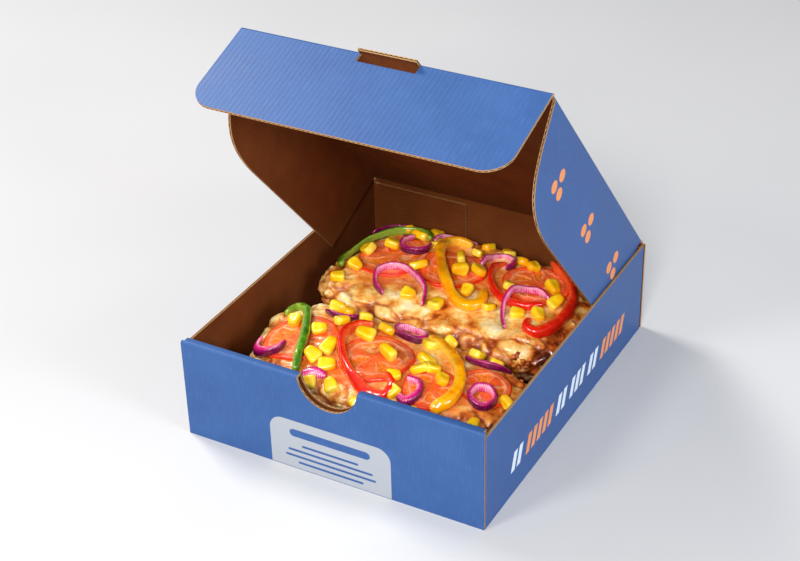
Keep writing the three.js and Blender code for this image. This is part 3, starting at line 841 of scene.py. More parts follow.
@dataclass
class Tray:
    """The open tray: floor, side walls with their glued rear tabs, back wall and rolled-over front wall."""

    materials: Sequence[bpy.types.Material]
    front_height: float = 67.3
    front_thickness: float = 6.2
    side_height: float = 63.7
    back_height: float = 63.2
    tab_start: float = 28.0
    tab_height: float = 61.0
    notch_radius: float = 20.0
    notch_depth: float = 18.3
    label_half: float = 40.5
    label_height: float = 34.6
    label_corner: float = 9.0
    half_width: float = field(init=False)
    half_depth: float = field(init=False)

    def __post_init__(self) -> None:
        """Takes the tray's outside from the frame."""
        low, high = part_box("tray")
        self.half_width = (high.x - low.x) / 2 / MM
        self.half_depth = (high.y - low.y) / 2 / MM

    def front_wall(self) -> bpy.types.Object:
        """The outer panel, the flat top strip and the inner panel, with the thumb notch and the label."""
        half = BOARD / 2
        front = -self.half_depth
        inner = front + self.front_thickness - half
        top = self.front_height - half
        sheet = FoldedSheet(
            corners=[(front + half, 0.0), (front + half, top), (inner, top), (inner, BOARD + 0.3)],
            span=(-self.half_width, self.half_width), place=section_yz, flutes=FlutesRun.ACROSS_FOLDS,
            bend=1.0)
        gather = Gather()
        sheet.fill(gather)
        wall = gather.build("front_wall", self.materials)
        centre = (0.0, self.front_height - self.notch_depth + self.notch_radius)
        notch = arc(centre, self.notch_radius, 0, 350, 64)
        carve(wall, prism("notch", notch, front - BEYOND, inner + BEYOND, section_xz))
        room = self.half_width - BOARD - 0.1
        for side in (-1, 1):
            outline = rectangle(side * room, side * (room + BEYOND), front + BOARD + 0.1, inner + BEYOND)
            carve(wall, prism("end_trim", outline, -BEYOND, self.front_height + BEYOND, section_xy))
        ink = Gather()
        self.print_label(ink, sheet)
        return join_meshes("front_wall", [wall, ink.build("label", self.materials)])

    def print_label(self, gather: Gather, sheet: FoldedSheet) -> None:
        """A pale field that runs up from the bottom edge, with plain bars on it."""
        left, right = -self.label_half, self.label_half
        high, corner = self.label_height, self.label_corner
        outline = [(LABEL_FOOT, right), (LABEL_FOOT, left)]
        outline += [(v, u) for u, v in arc((left + corner, high - corner), corner, 180, 90, 9)]
        outline += [(v, u) for u, v in arc((right - corner, high - corner), corner, 90, 0, 9)]
        sheet.print_shape(gather, outline, Ink.LABEL)
        self.print_bar(gather, sheet, 26.0, 5.2, 27.0)
        for number, reach in enumerate((19.0, 28.5, 30.5, 22.0)):
            self.print_bar(gather, sheet, 17.6 - 4.2 * number, 1.5, reach)

    @staticmethod
    def print_bar(gather: Gather, sheet: FoldedSheet, centre: float, tall: float, reach: float) -> None:
        """Prints one plain round-ended bar over the label's pale field.

        Args:
            gather: where the bar goes.
            sheet: the front wall.
            centre: its middle's height.
            tall: its thickness.
            reach: half its length.
        """
        half = tall / 2
        outline = [(v, u) for u, v in arc((-reach + half, centre), half, 270, 90, 7)]
        outline += [(v, u) for u, v in arc((reach - half, centre), half, 90, -90, 7)]
        raised = FoldedSheet(sheet.corners, sheet.span, sheet.place, sheet.flutes, bend=sheet.bend)
        raised.normal = sheet.normal * 1.09
        raised.print_shape(gather, outline, Ink.PRINT)

    def side_wall(self, side: int) -> bpy.types.Object:
        """A side wall and the rear tab that it folds into, glued inside the back wall."""
        half = BOARD / 2
        wall_x = side * (self.half_width - half)
        tab_y = self.half_depth - BOARD - half
        front = -self.half_depth + BOARD + SEAM
        sheet = FoldedSheet(
            corners=[(wall_x, front), (wall_x, tab_y), (side * self.tab_start, tab_y)],
            span=(2 * SEAM, self.side_height), place=section_xy, flutes=FlutesRun.ACROSS_FOLDS,
            printed_left=side < 0)
        gather = Gather()
        sheet.fill(gather)
        wall = gather.build("side_wall", self.materials)
        room = self.half_width - BOARD - 0.3
        outline = rectangle(side * (self.tab_start - BEYOND), side * room, tab_y - BEYOND, tab_y + BEYOND)
        carve(wall, prism("tab_trim", outline, self.tab_height, self.side_height + BEYOND, section_xy))
        if side > 0:
            ink = Gather()
            self.print_slanted_bars(ink, sheet)
            wall = join_meshes("side_wall", [wall, ink.build("bars", self.materials)])
        return wall

    def print_slanted_bars(self, gather: Gather, sheet: FoldedSheet) -> None:
        """A row of plain slanted bars in white and orange groups along the right wall."""
        groups = [(2, Ink.WHITE), (5, Ink.ORANGE), (2, Ink.WHITE), (3, Ink.WHITE), (2, Ink.WHITE),
                  (5, Ink.ORANGE)]
        wide, gap, tall, slant, low = 4.6, 2.9, 12.5, 4.5, 16.5
        position = 32.0
        for count, ink in groups:
            for _ in range(count):
                outline = [(position, low), (position + wide, low),
                           (position + wide + slant, low + tall), (position + slant, low + tall)]
                sheet.print_shape(gather, outline, ink)
                position += wide + gap
            position += wide

    def back_wall(self) -> bpy.types.Object:
        """The plain back wall, up to the lid's crease."""
        y = self.half_depth - BOARD / 2
        sheet = FoldedSheet(corners=[(y, self.back_height), (y, 0.0)],
                            span=(-self.half_width, self.half_width), place=section_yz,
                            flutes=FlutesRun.ACROSS_FOLDS)
        gather = Gather()
        sheet.fill(gather)
        return gather.build("back_wall", self.materials)

    def floor(self) -> bpy.types.Object:
        """The floor panel inside the four walls."""
        reach = self.half_width - BOARD - 2 * SEAM
        depth = self.half_depth - BOARD - SEAM
        sheet = FoldedSheet(corners=[(-reach, BOARD / 2), (reach, BOARD / 2)], span=(-depth, depth),
                            place=section_xz, flutes=FlutesRun.ALONG_FOLDS, printed_left=False)
        gather = Gather()
        sheet.fill(gather)
        return gather.build("floor", self.materials)

    def build(self) -> bpy.types.Object:
        """Builds the tray as one piece."""
        parts = [self.front_wall(), self.side_wall(-1), self.side_wall(1), self.back_wall(), self.floor()]
        return join_meshes("tray_board", parts)


@dataclass
class Lid:
    """The lid panel with its two wings and locking tab, and the front flap folded from it."""

    materials: Sequence[bpy.types.Material]
    length: float = 223.7
    crease_gap: float = 1.4
    wing_depth: float = 62.0
    wing_outer: float = 97.9
    tab_half: float = 18.5
    tab_length: float = 6.3
    flap_half: float = 97.8
    flap_length: float = 63.5
    flap_corner: float = 16.0
    flap_curl: float = 0.9
    slot_depth: float = 7.0
    opening: float = 49.0
    lean: float = 22.0

    def __post_init__(self) -> None:
        """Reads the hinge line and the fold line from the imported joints."""
        joints = {joint["name"]: joint for joint in frame["joints"]}
        self.hinge = np.array(joints["lid_hinge"]["pos_m"]) / MM
        self.fold = np.array(joints["flap_fold"]["pos_m"]) / MM

    def turned(self, points: Points, pivot: Points, degrees: float) -> Points:
        """Turns points that lie round an X axis through the origin and moves them to a pivot."""
        turn = math.radians(degrees)
        y = points[..., 1] * math.cos(turn) - points[..., 2] * math.sin(turn)
        z = points[..., 1] * math.sin(turn) + points[..., 2] * math.cos(turn)
        return np.stack([points[..., 0], y, z], -1) + pivot

    def lid_section(self, p: Points, q: Points, across: Points) -> Points:
        """A section across the lid: p to the right, q outwards, across from the hinge to the front."""
        local = np.stack([p, np.broadcast_to(-across, np.shape(p)), q], -1)
        return self.turned(local, self.hinge, -self.opening)

    def wing_plane(self, p: Points, q: Points, across: Points) -> Points:
        """The plane of a wing: p from the hinge, q outwards from the lid, across to the right."""
        local = np.stack([np.broadcast_to(across, np.shape(p)), -p, q], -1)
        return self.turned(local, self.hinge, -self.opening)

    def flap_section(self, p: Points, q: Points, across: Points) -> Points:
        """The flap's section: p forwards, q up from the fold, across to the right, with a slight curl."""
        to_right = 0.5 + 0.5 * np.asarray(across) / self.flap_half
        curl = self.flap_curl * np.clip(-q / self.flap_length, 0, 1) ** 2 * to_right
        local = np.stack([np.broadcast_to(across, np.shape(p)), p - curl, q + 0 * p], -1)
        return self.turned(local, self.fold, -self.opening - self.lean)

    def lid_board(self) -> bpy.types.Object:
        """The lid panel, wings and tab."""
        half = BOARD / 2
        edge = self.wing_outer - half
        depth = self.wing_depth
        end = self.length - self.crease_gap
        sheet = FoldedSheet(corners=[(-edge, -depth), (-edge, 0.0), (edge, 0.0), (edge, -depth)],
                            span=(self.crease_gap, end), place=self.lid_section, flutes=FlutesRun.ALONG_FOLDS)
        gather = Gather()
        sheet.fill(gather)
        lid = gather.build("lid_board", self.materials)
        below, close, past = -half - 0.9, -half - 0.1, -depth - BEYOND
        rear = [(-BEYOND, below), (4.5, below), (24.5, -depth - 0.01), (24.5, past), (-BEYOND, past)]
        curve = bezier([(152, -depth), (203, -depth), (207.4, -42), (215.0, -13)], 26)
        front = curve + [(218.0, close), (end + BEYOND, close), (end + BEYOND, past), (152, past)]
        for outline in (rear, front):
            carve(lid, prism("wing_trim", outline, -edge - BEYOND, edge + BEYOND, self.wing_plane))
        tab = FoldedSheet(corners=[(-self.tab_half, 0.0), (self.tab_half, 0.0)],
                          span=(end, self.length + self.tab_length), place=self.lid_section,
                          flutes=FlutesRun.ALONG_FOLDS, step=6)
        extra = Gather()
        tab.fill(extra)
        self.print_dots(extra, sheet)
        return join_meshes("lid_board", [lid, extra.build("tab", self.materials)])

    def print_dots(self, gather: Gather, sheet: FoldedSheet) -> None:
        """Three groups of plain round dots down each wing."""
        radius, middle = 3.9, 31.5
        for distance in (40.0, 105.0, 172.0):
            for step_u, step_v in ((-5.2, -4.2), (5.2, -4.2), (0.0, 5.0)):
                for along in (middle + step_v, sheet.length - middle - step_v):
                    dot = arc((along, distance + step_u), radius, 0, 345, 24)
                    sheet.print_shape(gather, dot, Ink.ORANGE)

    def flap_board(self) -> bpy.types.Object:
        """The front flap, with round lower corners and the cut-out of the tab."""
        sheet = FoldedSheet(corners=[(0.0, -self.flap_length), (0.0, -self.crease_gap)],
                            span=(-self.flap_half, self.flap_half), place=self.flap_section,
                            flutes=FlutesRun.ACROSS_FOLDS)
        gather = Gather()
        sheet.fill(gather)
        flap = gather.build("flap_board", self.materials)
        low, radius = -self.flap_length, self.flap_corner
        corner, past, below, through = self.flap_half - radius, self.flap_half + 5, low - 5, 6
        for side in (-1, 1):
            curve = [(side * u, v) for u, v in arc((corner, low + radius), radius, -90, 0, 16)]
            outline = curve + [(side * past, low + radius), (side * past, below), (side * corner, below)]
            carve(flap, prism("corner_trim", outline, -through, through, self.flap_face))
        reach = self.tab_half + TAB_PLAY
        slot = rectangle(-reach, reach, -self.slot_depth, 3)
        carve(flap, prism("tab_slot", slot, -through, through, self.flap_face))
        return flap

    def flap_face(self, p: Points, q: Points, across: Points) -> Points:
        """The plane of the flap: p to the right, q up from the fold, across forwards."""
        return self.flap_section(across, q, p)

    def fold_strip(self, name: str, start: Points, end: Points, lift: float,
                   spans: Sequence[tuple[float, float]]) -> bpy.types.Object:
        """The soft crease between two panels, bent over its fold.

        Args:
            name: the piece's name.
            start, end: two (position, outward normal) pairs in the YZ plane, where the panels end.
            lift: how far the crease's middle stands out.
            spans: stretches along X.

        Returns:
            The crease, a thin closed strip.
        """
        gather = Gather()
        (from_point, from_normal), (to_point, to_normal) = start, end
        shares = np.linspace(0, 1, 9)
        onward = shares[:, None]
        normals = from_normal * (1 - onward) + to_normal * onward
        normals /= np.linalg.norm(normals, axis=1)[:, None]
        bulge = 4 * onward * (1 - onward)
        middle = from_point * (1 - onward) + to_point * onward + normals * bulge * lift
        for low, high in spans:
            xs = np.linspace(low, high, max(2, int((high - low) / 9)))
            faces = []
            for side in (0.5, -0.5):
                row = middle + normals * BOARD * side
                wide = np.broadcast_to(xs, (len(row), len(xs)))
                faces.append(np.stack([wide, *(np.repeat(row[:, axis:axis + 1], len(xs), 1)
                                               for axis in (0, 1))], -1))
            across = np.broadcast_to(xs, (9, len(xs)))
            coords = np.stack([across, np.repeat(shares[:, None] * 3, len(xs), 1)], -1)
            gather.slab(faces[0], faces[1], (Ink.PRINT, Ink.KRAFT, Ink.CUT), coords)
        return gather.build(name, self.materials, sharp=50)

    def panel_end(self, pivot: Points, degrees: float, distance: float) -> tuple[Points, Points]:
        """Where a panel that hangs from a pivot starts or ends, and its outward normal, in the YZ plane.

        Args:
            pivot: the fold line's position.
            degrees: how far the panel's direction is turned from -Y towards +Z.
            distance: how far along the panel.

        Returns:
            The position and the normal.
        """
        turn = math.radians(degrees)
        direction = np.array([-math.cos(turn), math.sin(turn)])
        normal = np.array([math.sin(turn), math.cos(turn)])
        return pivot[1:] + direction * distance, normal

    def folds(self) -> list[tuple[bpy.types.Object, str, str, Points, Points]]:
        """Both creases, each with the two bodies that it joins and the points where it starts and ends."""
        lid_start = self.panel_end(self.hinge, self.opening, self.crease_gap)
        wall_top = (np.array([self.hinge[1], Tray.back_height]), np.array([1.0, 0.0]))
        hinge = self.fold_strip("hinge_crease", wall_top, lid_start, 0.35,
                                [(-self.wing_outer, self.wing_outer)])
        lid_end = self.panel_end(self.fold, self.opening, -self.crease_gap)
        flap_start = self.panel_end(self.fold, self.opening - 90 + self.lean, self.crease_gap)
        reach = self.tab_half + TAB_PLAY
        front = self.fold_strip("front_crease", lid_end, flap_start, 0.45,
                                [(-self.flap_half, -reach), (reach, self.flap_half)])
        return [(hinge, "tray", "lid", wall_top[0], lid_start[0]),
                (front, "lid", "front_flap", lid_end[0], flap_start[0])]


# ---------------------------------------------------------------- pizza halves
SQUARENESS = 3.6
RIM_HEIGHT = 34.0
RIM_TOP = 43.0
ROUNDING = 0.3  # share of the half that its shoulder takes
CROWN_HEIGHT = 46.5
MELT = 2.6  # how far the melted cheese rises between the slices
UNDERSIDE = BOARD + 0.35
FLAP_PRESS = 0.8  # how softly the food gives way to the shut flap
SHUT_FOLD_Y, SHUT_FOLD_Z = -107.6, 68.9  # where the shut flap's inner face starts
FLAP_CLEARANCE = 0.9  # least gap between the food and that face
SHUT_SLOPE = 0.376  # how far that face leans back for each millimetre down
SIDE_PROFILE = [(RIM_HEIGHT, 0.0), (30.0, 1.5), (22.0, 5.0), (15.0, 8.6), (9.0, 11.0), (4.0, 13.2),
                (UNDERSIDE, 16.0)]


def flap_face(z: Points) -> Points:
    """The shut flap's inner face: how far forwards the food may reach at a height."""
    return SHUT_FOLD_Y + SHUT_SLOPE * (SHUT_FOLD_Z - z)


@dataclass(frozen=True)
class PizzaHalf:
    """One rounded oblong of pizza, in the same form as its solid in the frame, with its surface modelled."""

    name: str
    centre: tuple[float, float]
    half: tuple[float, float]
    taper: float
    skew: float
    phase: float
    seed: int
    bake: float  # how brown its sides are
    around: int = 460

    def reach(self, angle: Points) -> Points:
        """The outline's reach in unit space, in the direction of an angle."""
        rounded = (np.abs(np.cos(angle)) ** SQUARENESS
                   + np.abs(np.sin(angle)) ** SQUARENESS) ** (-1 / SQUARENESS)
        wobble = 1 + 0.018 * np.sin(3 * angle + self.phase) + 0.012 * np.sin(5 * angle - 2 * self.phase)
        return rounded * wobble / 1.03

    def spot(self, unit_x: Points, unit_y: Points) -> tuple[Points, Points]:
        """Turns unit coordinates into a place on the half."""
        x = self.centre[0] + self.half[0] * unit_x
        y = self.centre[1] + self.skew * unit_x + self.half[1] * (1 + self.taper * unit_x) * unit_y
        return x, y

    def share(self, x: Points, y: Points) -> Points:
        """How far out a place lies: 0 at the middle, 1 at the outline."""
        unit_x = (x - self.centre[0]) / self.half[0]
        unit_y = (y - self.centre[1] - self.skew * unit_x) / (self.half[1] * (1 + self.taper * unit_x))
        return np.hypot(unit_x, unit_y) / self.reach(np.arctan2(unit_y, unit_x))

    def height(self, x: Points, y: Points) -> Points:
        """Height of the cheese before its fine relief."""
        share = np.minimum(self.share(x, y), 1)
        dome = CROWN_HEIGHT - (CROWN_HEIGHT - RIM_TOP) * share ** 2.4
        swell = 0.8 * np.sin(x / 12 + self.phase) * np.cos(y / 13 - self.phase) * (1 - share ** 4)
        round_over = np.clip((share - 1) / ROUNDING + 1, 0, 1)
        edge = (RIM_TOP - RIM_HEIGHT) * (1 - np.sqrt(1 - round_over ** 2.4))
        return dome + swell - edge + MELT * (1 - share ** 4)

    def skin_grid(self) -> tuple[Points, Points]:
        """The half's smooth surface from the underside's middle up to the top's middle.

        Returns:
            Positions, (around, rows, 3), and for each how much it belongs to the side.
        """
        angle = np.linspace(0, 2 * math.pi, self.around, endpoint=False)
        reach = self.reach(angle)
        x, y = self.spot(reach * np.cos(angle), reach * np.sin(angle))
        levels, insets = zip(*reversed(SIDE_PROFILE))
        heights = np.linspace(UNDERSIDE, RIM_HEIGHT, 46)[:-1]
        rows = [(insets[0], UNDERSIDE, share) for share in (0.001, 0.5, 0.9)]
        rows += [(inset, height, 1.0) for inset, height in zip(np.interp(heights, levels, insets), heights)]
        grid, sides = [], []
        for inset, height, share in rows:
            shrink_x = (1 - inset / self.half[0]) * share
            shrink_y = (1 - inset / self.half[1]) * share
            grid.append(np.stack([self.centre[0] + (x - self.centre[0]) * shrink_x,
                                  self.centre[1] + (y - self.centre[1]) * shrink_y,
                                  np.full_like(x, height)], -1))
            sides.append(np.ones(self.around))
        for share in 1 - (np.linspace(0, 1, 96) ** 1.35) * 0.999:
            px, py = self.spot(reach * share * np.cos(angle), reach * share * np.sin(angle))
            grid.append(np.stack([px, py, self.height(px, py)], -1))
            sides.append(np.full(self.around, float(smoothstep(0.68, 0.96, np.array(share)))))
        return np.stack(grid, 1), np.stack(sides, 1)

    def relief(self, grid: Points, side: Points) -> tuple[Points, Points, Points, Points]:
        """The cheese's lumps, folds and blisters: gentle on top, puffy and creased on the sides.

        Args:
            grid: the smooth surface.
            side: how much each place belongs to the side.

        Returns:
            How far each place stands out, its lumps, its small lumps and the painted shade of its creases.
        """
        lumps = noise(grid, 15, self.seed, 3)
        blisters = noise(grid, 5.0, self.seed + 9, 3)
        fine = noise(grid, 1.9, self.seed + 17, 2)
        drift = [noise(grid, 14, self.seed + 40 + axis, 2) for axis in range(3)]
        warped = grid + 5.0 * np.stack(drift, -1)
        big, big_crease = billow(warped * np.array([0.8, 0.8, 1.2]), 15, self.seed)
        small, small_crease = billow(warped, 6.5, self.seed + 3)
        top = 0.9 * lumps + 0.55 * (small - 0.75) + 0.35 * blisters + 0.12 * fine
        knots = smoothstep(-0.2, 0.5, noise(grid, 20, self.seed + 33, 2))
        flank = 6.4 * (big - 0.78) + 1.3 * (small - 0.78) * knots + 1.9 * lumps + 0.6 * blisters * knots
        flank = flank - 1.2 * big_crease + 0.14 * fine
        low = smoothstep(10, 3, grid[..., 2])
        rise = (top * (1 - side) + flank * side) * (1 - 0.8 * low)
        # How much painted shade darkens each crease.
        crease = np.clip(0.8 * big_crease + 0.6 * small_crease * knots, 0, 1) * side
        return rise, lumps, small, crease

    def browning_and_hollow_shade(self, grid: Points, side: Points, rise: Points, small: Points) -> Points:
        """How baked each place is: most low on the sides, in scorched patches and at the right, with painted
        shade in hollows.

        Args:
            grid: the finished surface.
            side: how much each place belongs to the side.
            rise: how far it stands out.
            small: its small lumps.

        Returns:
            The baking of each place with the painted shade and highlight, 0 to 1.
        """
        bake = 0.34 + 0.26 * noise(grid, 24, self.seed + 21, 2) + 0.22 * noise(grid, 8, self.seed + 25, 2)
        # Brown low on the sides; paler on lump tops and darker in hollows as painted highlight and shade.
        bake += self.bake * side * smoothstep(38, 14, grid[..., 2]) - 0.1 * (small - 0.8)
        bake -= 0.11 * rise
        scorch = smoothstep(0.3, 0.8, noise(grid, 11, self.seed + 29, 2)) * smoothstep(0.05, 0.6, side)
        right_end = smoothstep(0.55, 0.95, (grid[..., 0] - self.centre[0]) / self.half[0])
        bake += 0.34 * scorch * (0.6 + 0.8 * right_end) + 0.34 * right_end * side
        return np.clip(bake, 0, 1)

    def build(self, material: bpy.types.Material, slices: Sequence["TomatoSlice"]) -> bpy.types.Object:
        """Models the cheese and marks where it is baked or oily and the painted shade of its creases.

        Args:
            material: the baked cheese.
            slices: tomato slices, whose oil stains the cheese round them.

        Returns:
            The half as one closed mesh.
        """
        grid, side = self.skin_grid()
        around_step = np.roll(grid, -1, 0) - np.roll(grid, 1, 0)
        normal = np.cross(around_step, np.gradient(grid, axis=1))
        normal /= np.linalg.norm(normal, axis=-1)[..., None] + 1e-9
        rise, lumps, small, crease = self.relief(grid, side)
        grid = grid + normal * rise[..., None]
        grid[..., 2] = np.maximum(grid[..., 2], BOARD + SEAM)
        limit = flap_face(grid[..., 2]) + FLAP_CLEARANCE
        grid[..., 1] = limit + FLAP_PRESS * np.logaddexp(0, (grid[..., 1] - limit) / FLAP_PRESS)
        oil = np.zeros(side.shape)
        for tomato in slices:
            distance = np.hypot(grid[..., 0] - tomato.centre[0], grid[..., 1] - tomato.centre[1])
            oil = np.maximum(oil, smoothstep(12, -1, distance - tomato.radius + 4 * lumps))
        gather = Gather()
        gather.grid(grid, wrap=True, coords=grid[..., :2],
                    marks={"bake": self.browning_and_hollow_shade(grid, side, rise, small), "oil": oil * (1 - side) * 0.95,
                           "crease": crease})
        return gather.build(self.name + "_food", [material], sharp=180)


# ---------------------------------------------------------------- toppings
SLICE_THICKNESS = 4.2 - MELT  # what stands out of the melted cheese
SLICE_BLEND = 8.0
GAP = 0.35


@dataclass(frozen=True)
class TomatoSlice:
    """A baked slice of tomato that drapes over the cheese."""

    name: str
    half: PizzaHalf
    centre: tuple[float, float]
    radius: float

    def lift(self, x: Points, y: Points) -> Points:
        """How much the slice raises what lies over it."""
        beyond = np.hypot(x - self.centre[0], y - self.centre[1]) - self.radius - 1
        return (1 - smoothstep(0, SLICE_BLEND, beyond)) * (SLICE_THICKNESS + GAP)

    def build(self, material: bpy.types.Material, under: Sequence["TomatoSlice"],
              seed: int) -> bpy.types.Object:
        """Models the slice's skin rim, flesh walls and seed pockets.

        Args:
            material: the tomato's flesh.
            under: slices that it leans on.
            seed: makes each slice different.

        Returns:
            The slice as one closed mesh.
        """
        angle = np.linspace(0, 2 * math.pi, 150, endpoint=False)[:, None]
        # Share of the radius, share of the height, and whether it is on the upper face.
        profile = [(0.001, 0.0, 0), (0.5, 0.0, 0), (0.9, 0.0, 0), (0.97, 0.1, 0), (0.993, 0.4, 0),
                   (1.0, 0.62, 1), (0.994, 0.82, 1), (0.978, 0.97, 1), (0.955, 1.0, 1), (0.93, 0.97, 1)]
        profile += [(share, 0.93, 1) for share in np.linspace(0.905, 0.001, 40)]
        share, level, upper = (np.array(column)[None, :] + 0 * angle for column in zip(*profile))
        wobble = (1 + 0.02 * np.sin(3 * angle + self.centre[0]) + 0.014 * np.sin(5 * angle + self.centre[1])
                  + 0.012 * np.sin(11 * angle + seed))
        x = self.centre[0] + share * self.radius * wobble * np.cos(angle)
        y = self.centre[1] + share * self.radius * wobble * np.sin(angle)
        flat = np.stack([x, y, 0 * x], -1)
        swirl = angle + 0.55 * noise(flat, 15, seed, 2) + seed
        lobes = np.cos((3 + seed % 3) * swirl)
        ring = share + 0.07 * noise(flat, 9, seed + 2, 2)
        inside = smoothstep(0.2, 0.3, ring) * (1 - smoothstep(0.68, 0.78, ring))
        gel = smoothstep(-0.2, 0.45, lobes) * inside
        wall = np.exp(-((lobes + 0.1) / 0.22) ** 2) * inside + np.exp(-((ring - 0.76) / 0.045) ** 2)
        wrinkle = noise(flat, 3.4, seed + 3, 3)
        melt = smoothstep(0.1, 0.75, noise(flat, 16, seed + 5, 2))
        rest = resting_height(self.half, under, x, y)
        body = SLICE_THICKNESS * (1 + 0.3 * noise(flat, 14, seed + 7))
        z = rest - 1.6 + level * (body + 1.5) - 0.7 * melt * upper
        within = smoothstep(0.96, 0.85, share)
        z = z + upper * (-0.5 * gel + 0.25 * np.clip(wall, 0, 1) + 0.3 * wrinkle * within)
        gather = Gather()
        gather.grid(np.stack([x, y, z], -1), wrap=True, coords=np.stack([x, y], -1),
                    marks={"rim": smoothstep(0.9, 0.97, share) * (0.55 + 0.45 * upper), "gel": gel * upper,
                           "wall": np.clip(wall, 0, 1) * upper})
        return gather.build(self.name + "_food", [material], sharp=180)


def resting_height(half: PizzaHalf, slices: Sequence[TomatoSlice], x: Points, y: Points) -> Points:
    """What a topping rests on: the cheese and the slices already laid."""
    lift = np.zeros(np.shape(x))
    for tomato in slices:
        if tomato.half is half:
            lift = np.maximum(lift, tomato.lift(x, y))
    return half.height(x, y) + GAP + lift


def smooth_path(points: Sequence[tuple], count: int, closed: bool) -> Points:
    """A smooth line through a few points.

    Args:
        points: (x, y) or (x, y, extra lift).
        count: how many points come back.
        closed: whether the line joins its own start.

    Returns:
        Evenly spaced points, (count, 3).
    """
    knots = np.array([tuple(point) + (0.0,) * (3 - len(point)) for point in points], float)
    if closed:
        padded = np.vstack([knots[-1:], knots, knots[:2]])
    else:
        padded = np.vstack([2 * knots[0] - knots[1], knots, 2 * knots[-1] - knots[-2]])
    dense = []
    for a, b, c, d in zip(padded, padded[1:], padded[2:], padded[3:]):
        for t in np.linspace(0, 1, 24, endpoint=False):
            dense.append(0.5 * (2 * b + (c - a) * t + (2 * a - 5 * b + 4 * c - d) * t * t
                                + (3 * b - a - 3 * c + d) * t ** 3))
    dense.append(padded[-2])
    line = np.array(dense)
    along = np.concatenate([[0], np.cumsum(np.linalg.norm(np.diff(line[:, :2], axis=0), axis=1))])
    wanted = np.linspace(0, along[-1], count, endpoint=not closed)
    return np.stack([np.interp(wanted, along, line[:, axis]) for axis in range(3)], 1)


class Veg(Enum):
    """What a strip is cut from, and its material slot."""

    GREEN = "green_pepper"
    RED = "red_pepper"
    YELLOW = "yellow_pepper"
    ONION = "red_onion"


@dataclass(frozen=True)
class Strip:
    """A curved strip of pepper or onion."""

    name: str
    half: PizzaHalf
    veg: Veg
    width: float
    height: float
    path: tuple
    closed: bool = False
    skin_side: int = 1  # which side of the path, +1 right or -1 left, has the skin

    def build(self, material: bpy.types.Material, slices: Sequence[TomatoSlice],
              seed: int) -> bpy.types.Object:
        """Models the strip along its path, with uneven sides and rounded ends.

        Args:
            material: its skin and flesh.
            slices: tomato slices that it climbs over.
            seed: makes each strip different.

        Returns:
            The strip as one closed mesh.
        """
        sides = 28
        rough = smooth_path(self.path, 40, self.closed)
        length = float(np.sum(np.linalg.norm(np.diff(rough[:, :2], axis=0), axis=1)))
        count = max(30, int(length / 0.75))
        line = smooth_path(self.path, count, self.closed)
        if self.closed:
            tangent = np.roll(line, -1, 0) - np.roll(line, 1, 0)
        else:
            tangent = np.gradient(line, axis=0)
        tangent[:, 2] = 0
        tangent /= np.linalg.norm(tangent, axis=1)[:, None]
        right = np.stack([tangent[:, 1], -tangent[:, 0]], 1) * self.skin_side
        along = np.linspace(0, length, count)
        scale = np.ones(count)
        if not self.closed:
            edge = np.minimum(along, length - along)
            cap = 0.42 * self.width
            scale = np.sqrt(np.clip(1 - np.clip(1 - edge / cap, 0, 1) ** 2, 0.0004, 1))
            scale *= 0.72 + 0.28 * smoothstep(0, 9, edge)
        turn = np.linspace(0, 2 * math.pi, sides, endpoint=False)
        is_onion = self.veg is Veg.ONION
        power = 0.62 if is_onion else 0.75
        across = np.sign(np.cos(turn)) * np.abs(np.cos(turn)) ** power
        upward = np.sign(np.sin(turn)) * np.abs(np.sin(turn)) ** power
        if not is_onion:
            across = across + 0.18 * (1 - upward ** 2) * (across < 0)
        line3 = np.stack([line[:, 0], line[:, 1], 0 * line[:, 0]], 1)
        wave = noise(line3, 11, seed, 2)
        half_width = self.width / 2 * (1 + 0.13 * wave) * scale
        half_height = self.height / 2 * (1 + 0.12 * np.roll(wave, 7)) * scale
        offset = half_width[None, :] * across[:, None]
        x = line[None, :, 0] + right[None, :, 0] * offset
        y = line[None, :, 1] + right[None, :, 1] * offset
        rise = self.height / 2 + half_height[None, :] * upward[:, None] - 0.9
        z = resting_height(self.half, slices, x, y) + line[None, :, 2] + rise
        points = np.stack([x, y, z], -1)
        fine = noise(points, 2.6, seed + 3, 2) * (0.16 if is_onion else 0.22)
        points[..., 2] += fine * (upward[:, None] > 0)
        inner = 0.5 - 0.5 * across[:, None] * np.ones(count)[None, :]
        if is_onion:
            inner = np.clip(0.9 * inner + 0.22 * np.clip(upward, 0, 1)[:, None], 0, 1)
        else:
            inner = inner + 0.5 * smoothstep(0.9, 0.2, scale)[None, :]
        coords = np.stack([np.repeat(turn[:, None] * self.width / 2, count, 1),
                           np.repeat(along[None, :], sides, 0)], -1)
        gather = Gather()
        if self.closed:
            looped = np.concatenate([points, points[:, :1]], 1)
            gather.grid(looped, wrap=True, coords=np.concatenate([coords, coords[:, -1:]], 1),
                        marks={"inner": np.concatenate([inner, inner[:, :1]], 1)})
        else:
            gather.grid(points, wrap=True, coords=coords, marks={"inner": inner})
            for column in (0, -1):
                rim = points[:, column]
                fan = np.stack([rim, np.broadcast_to(rim.mean(0), rim.shape)], 1)
                gather.grid(fan, wrap=True, marks={"inner": np.ones((sides, 2))})
        return gather.build(self.name + "_food", [material], sharp=180)


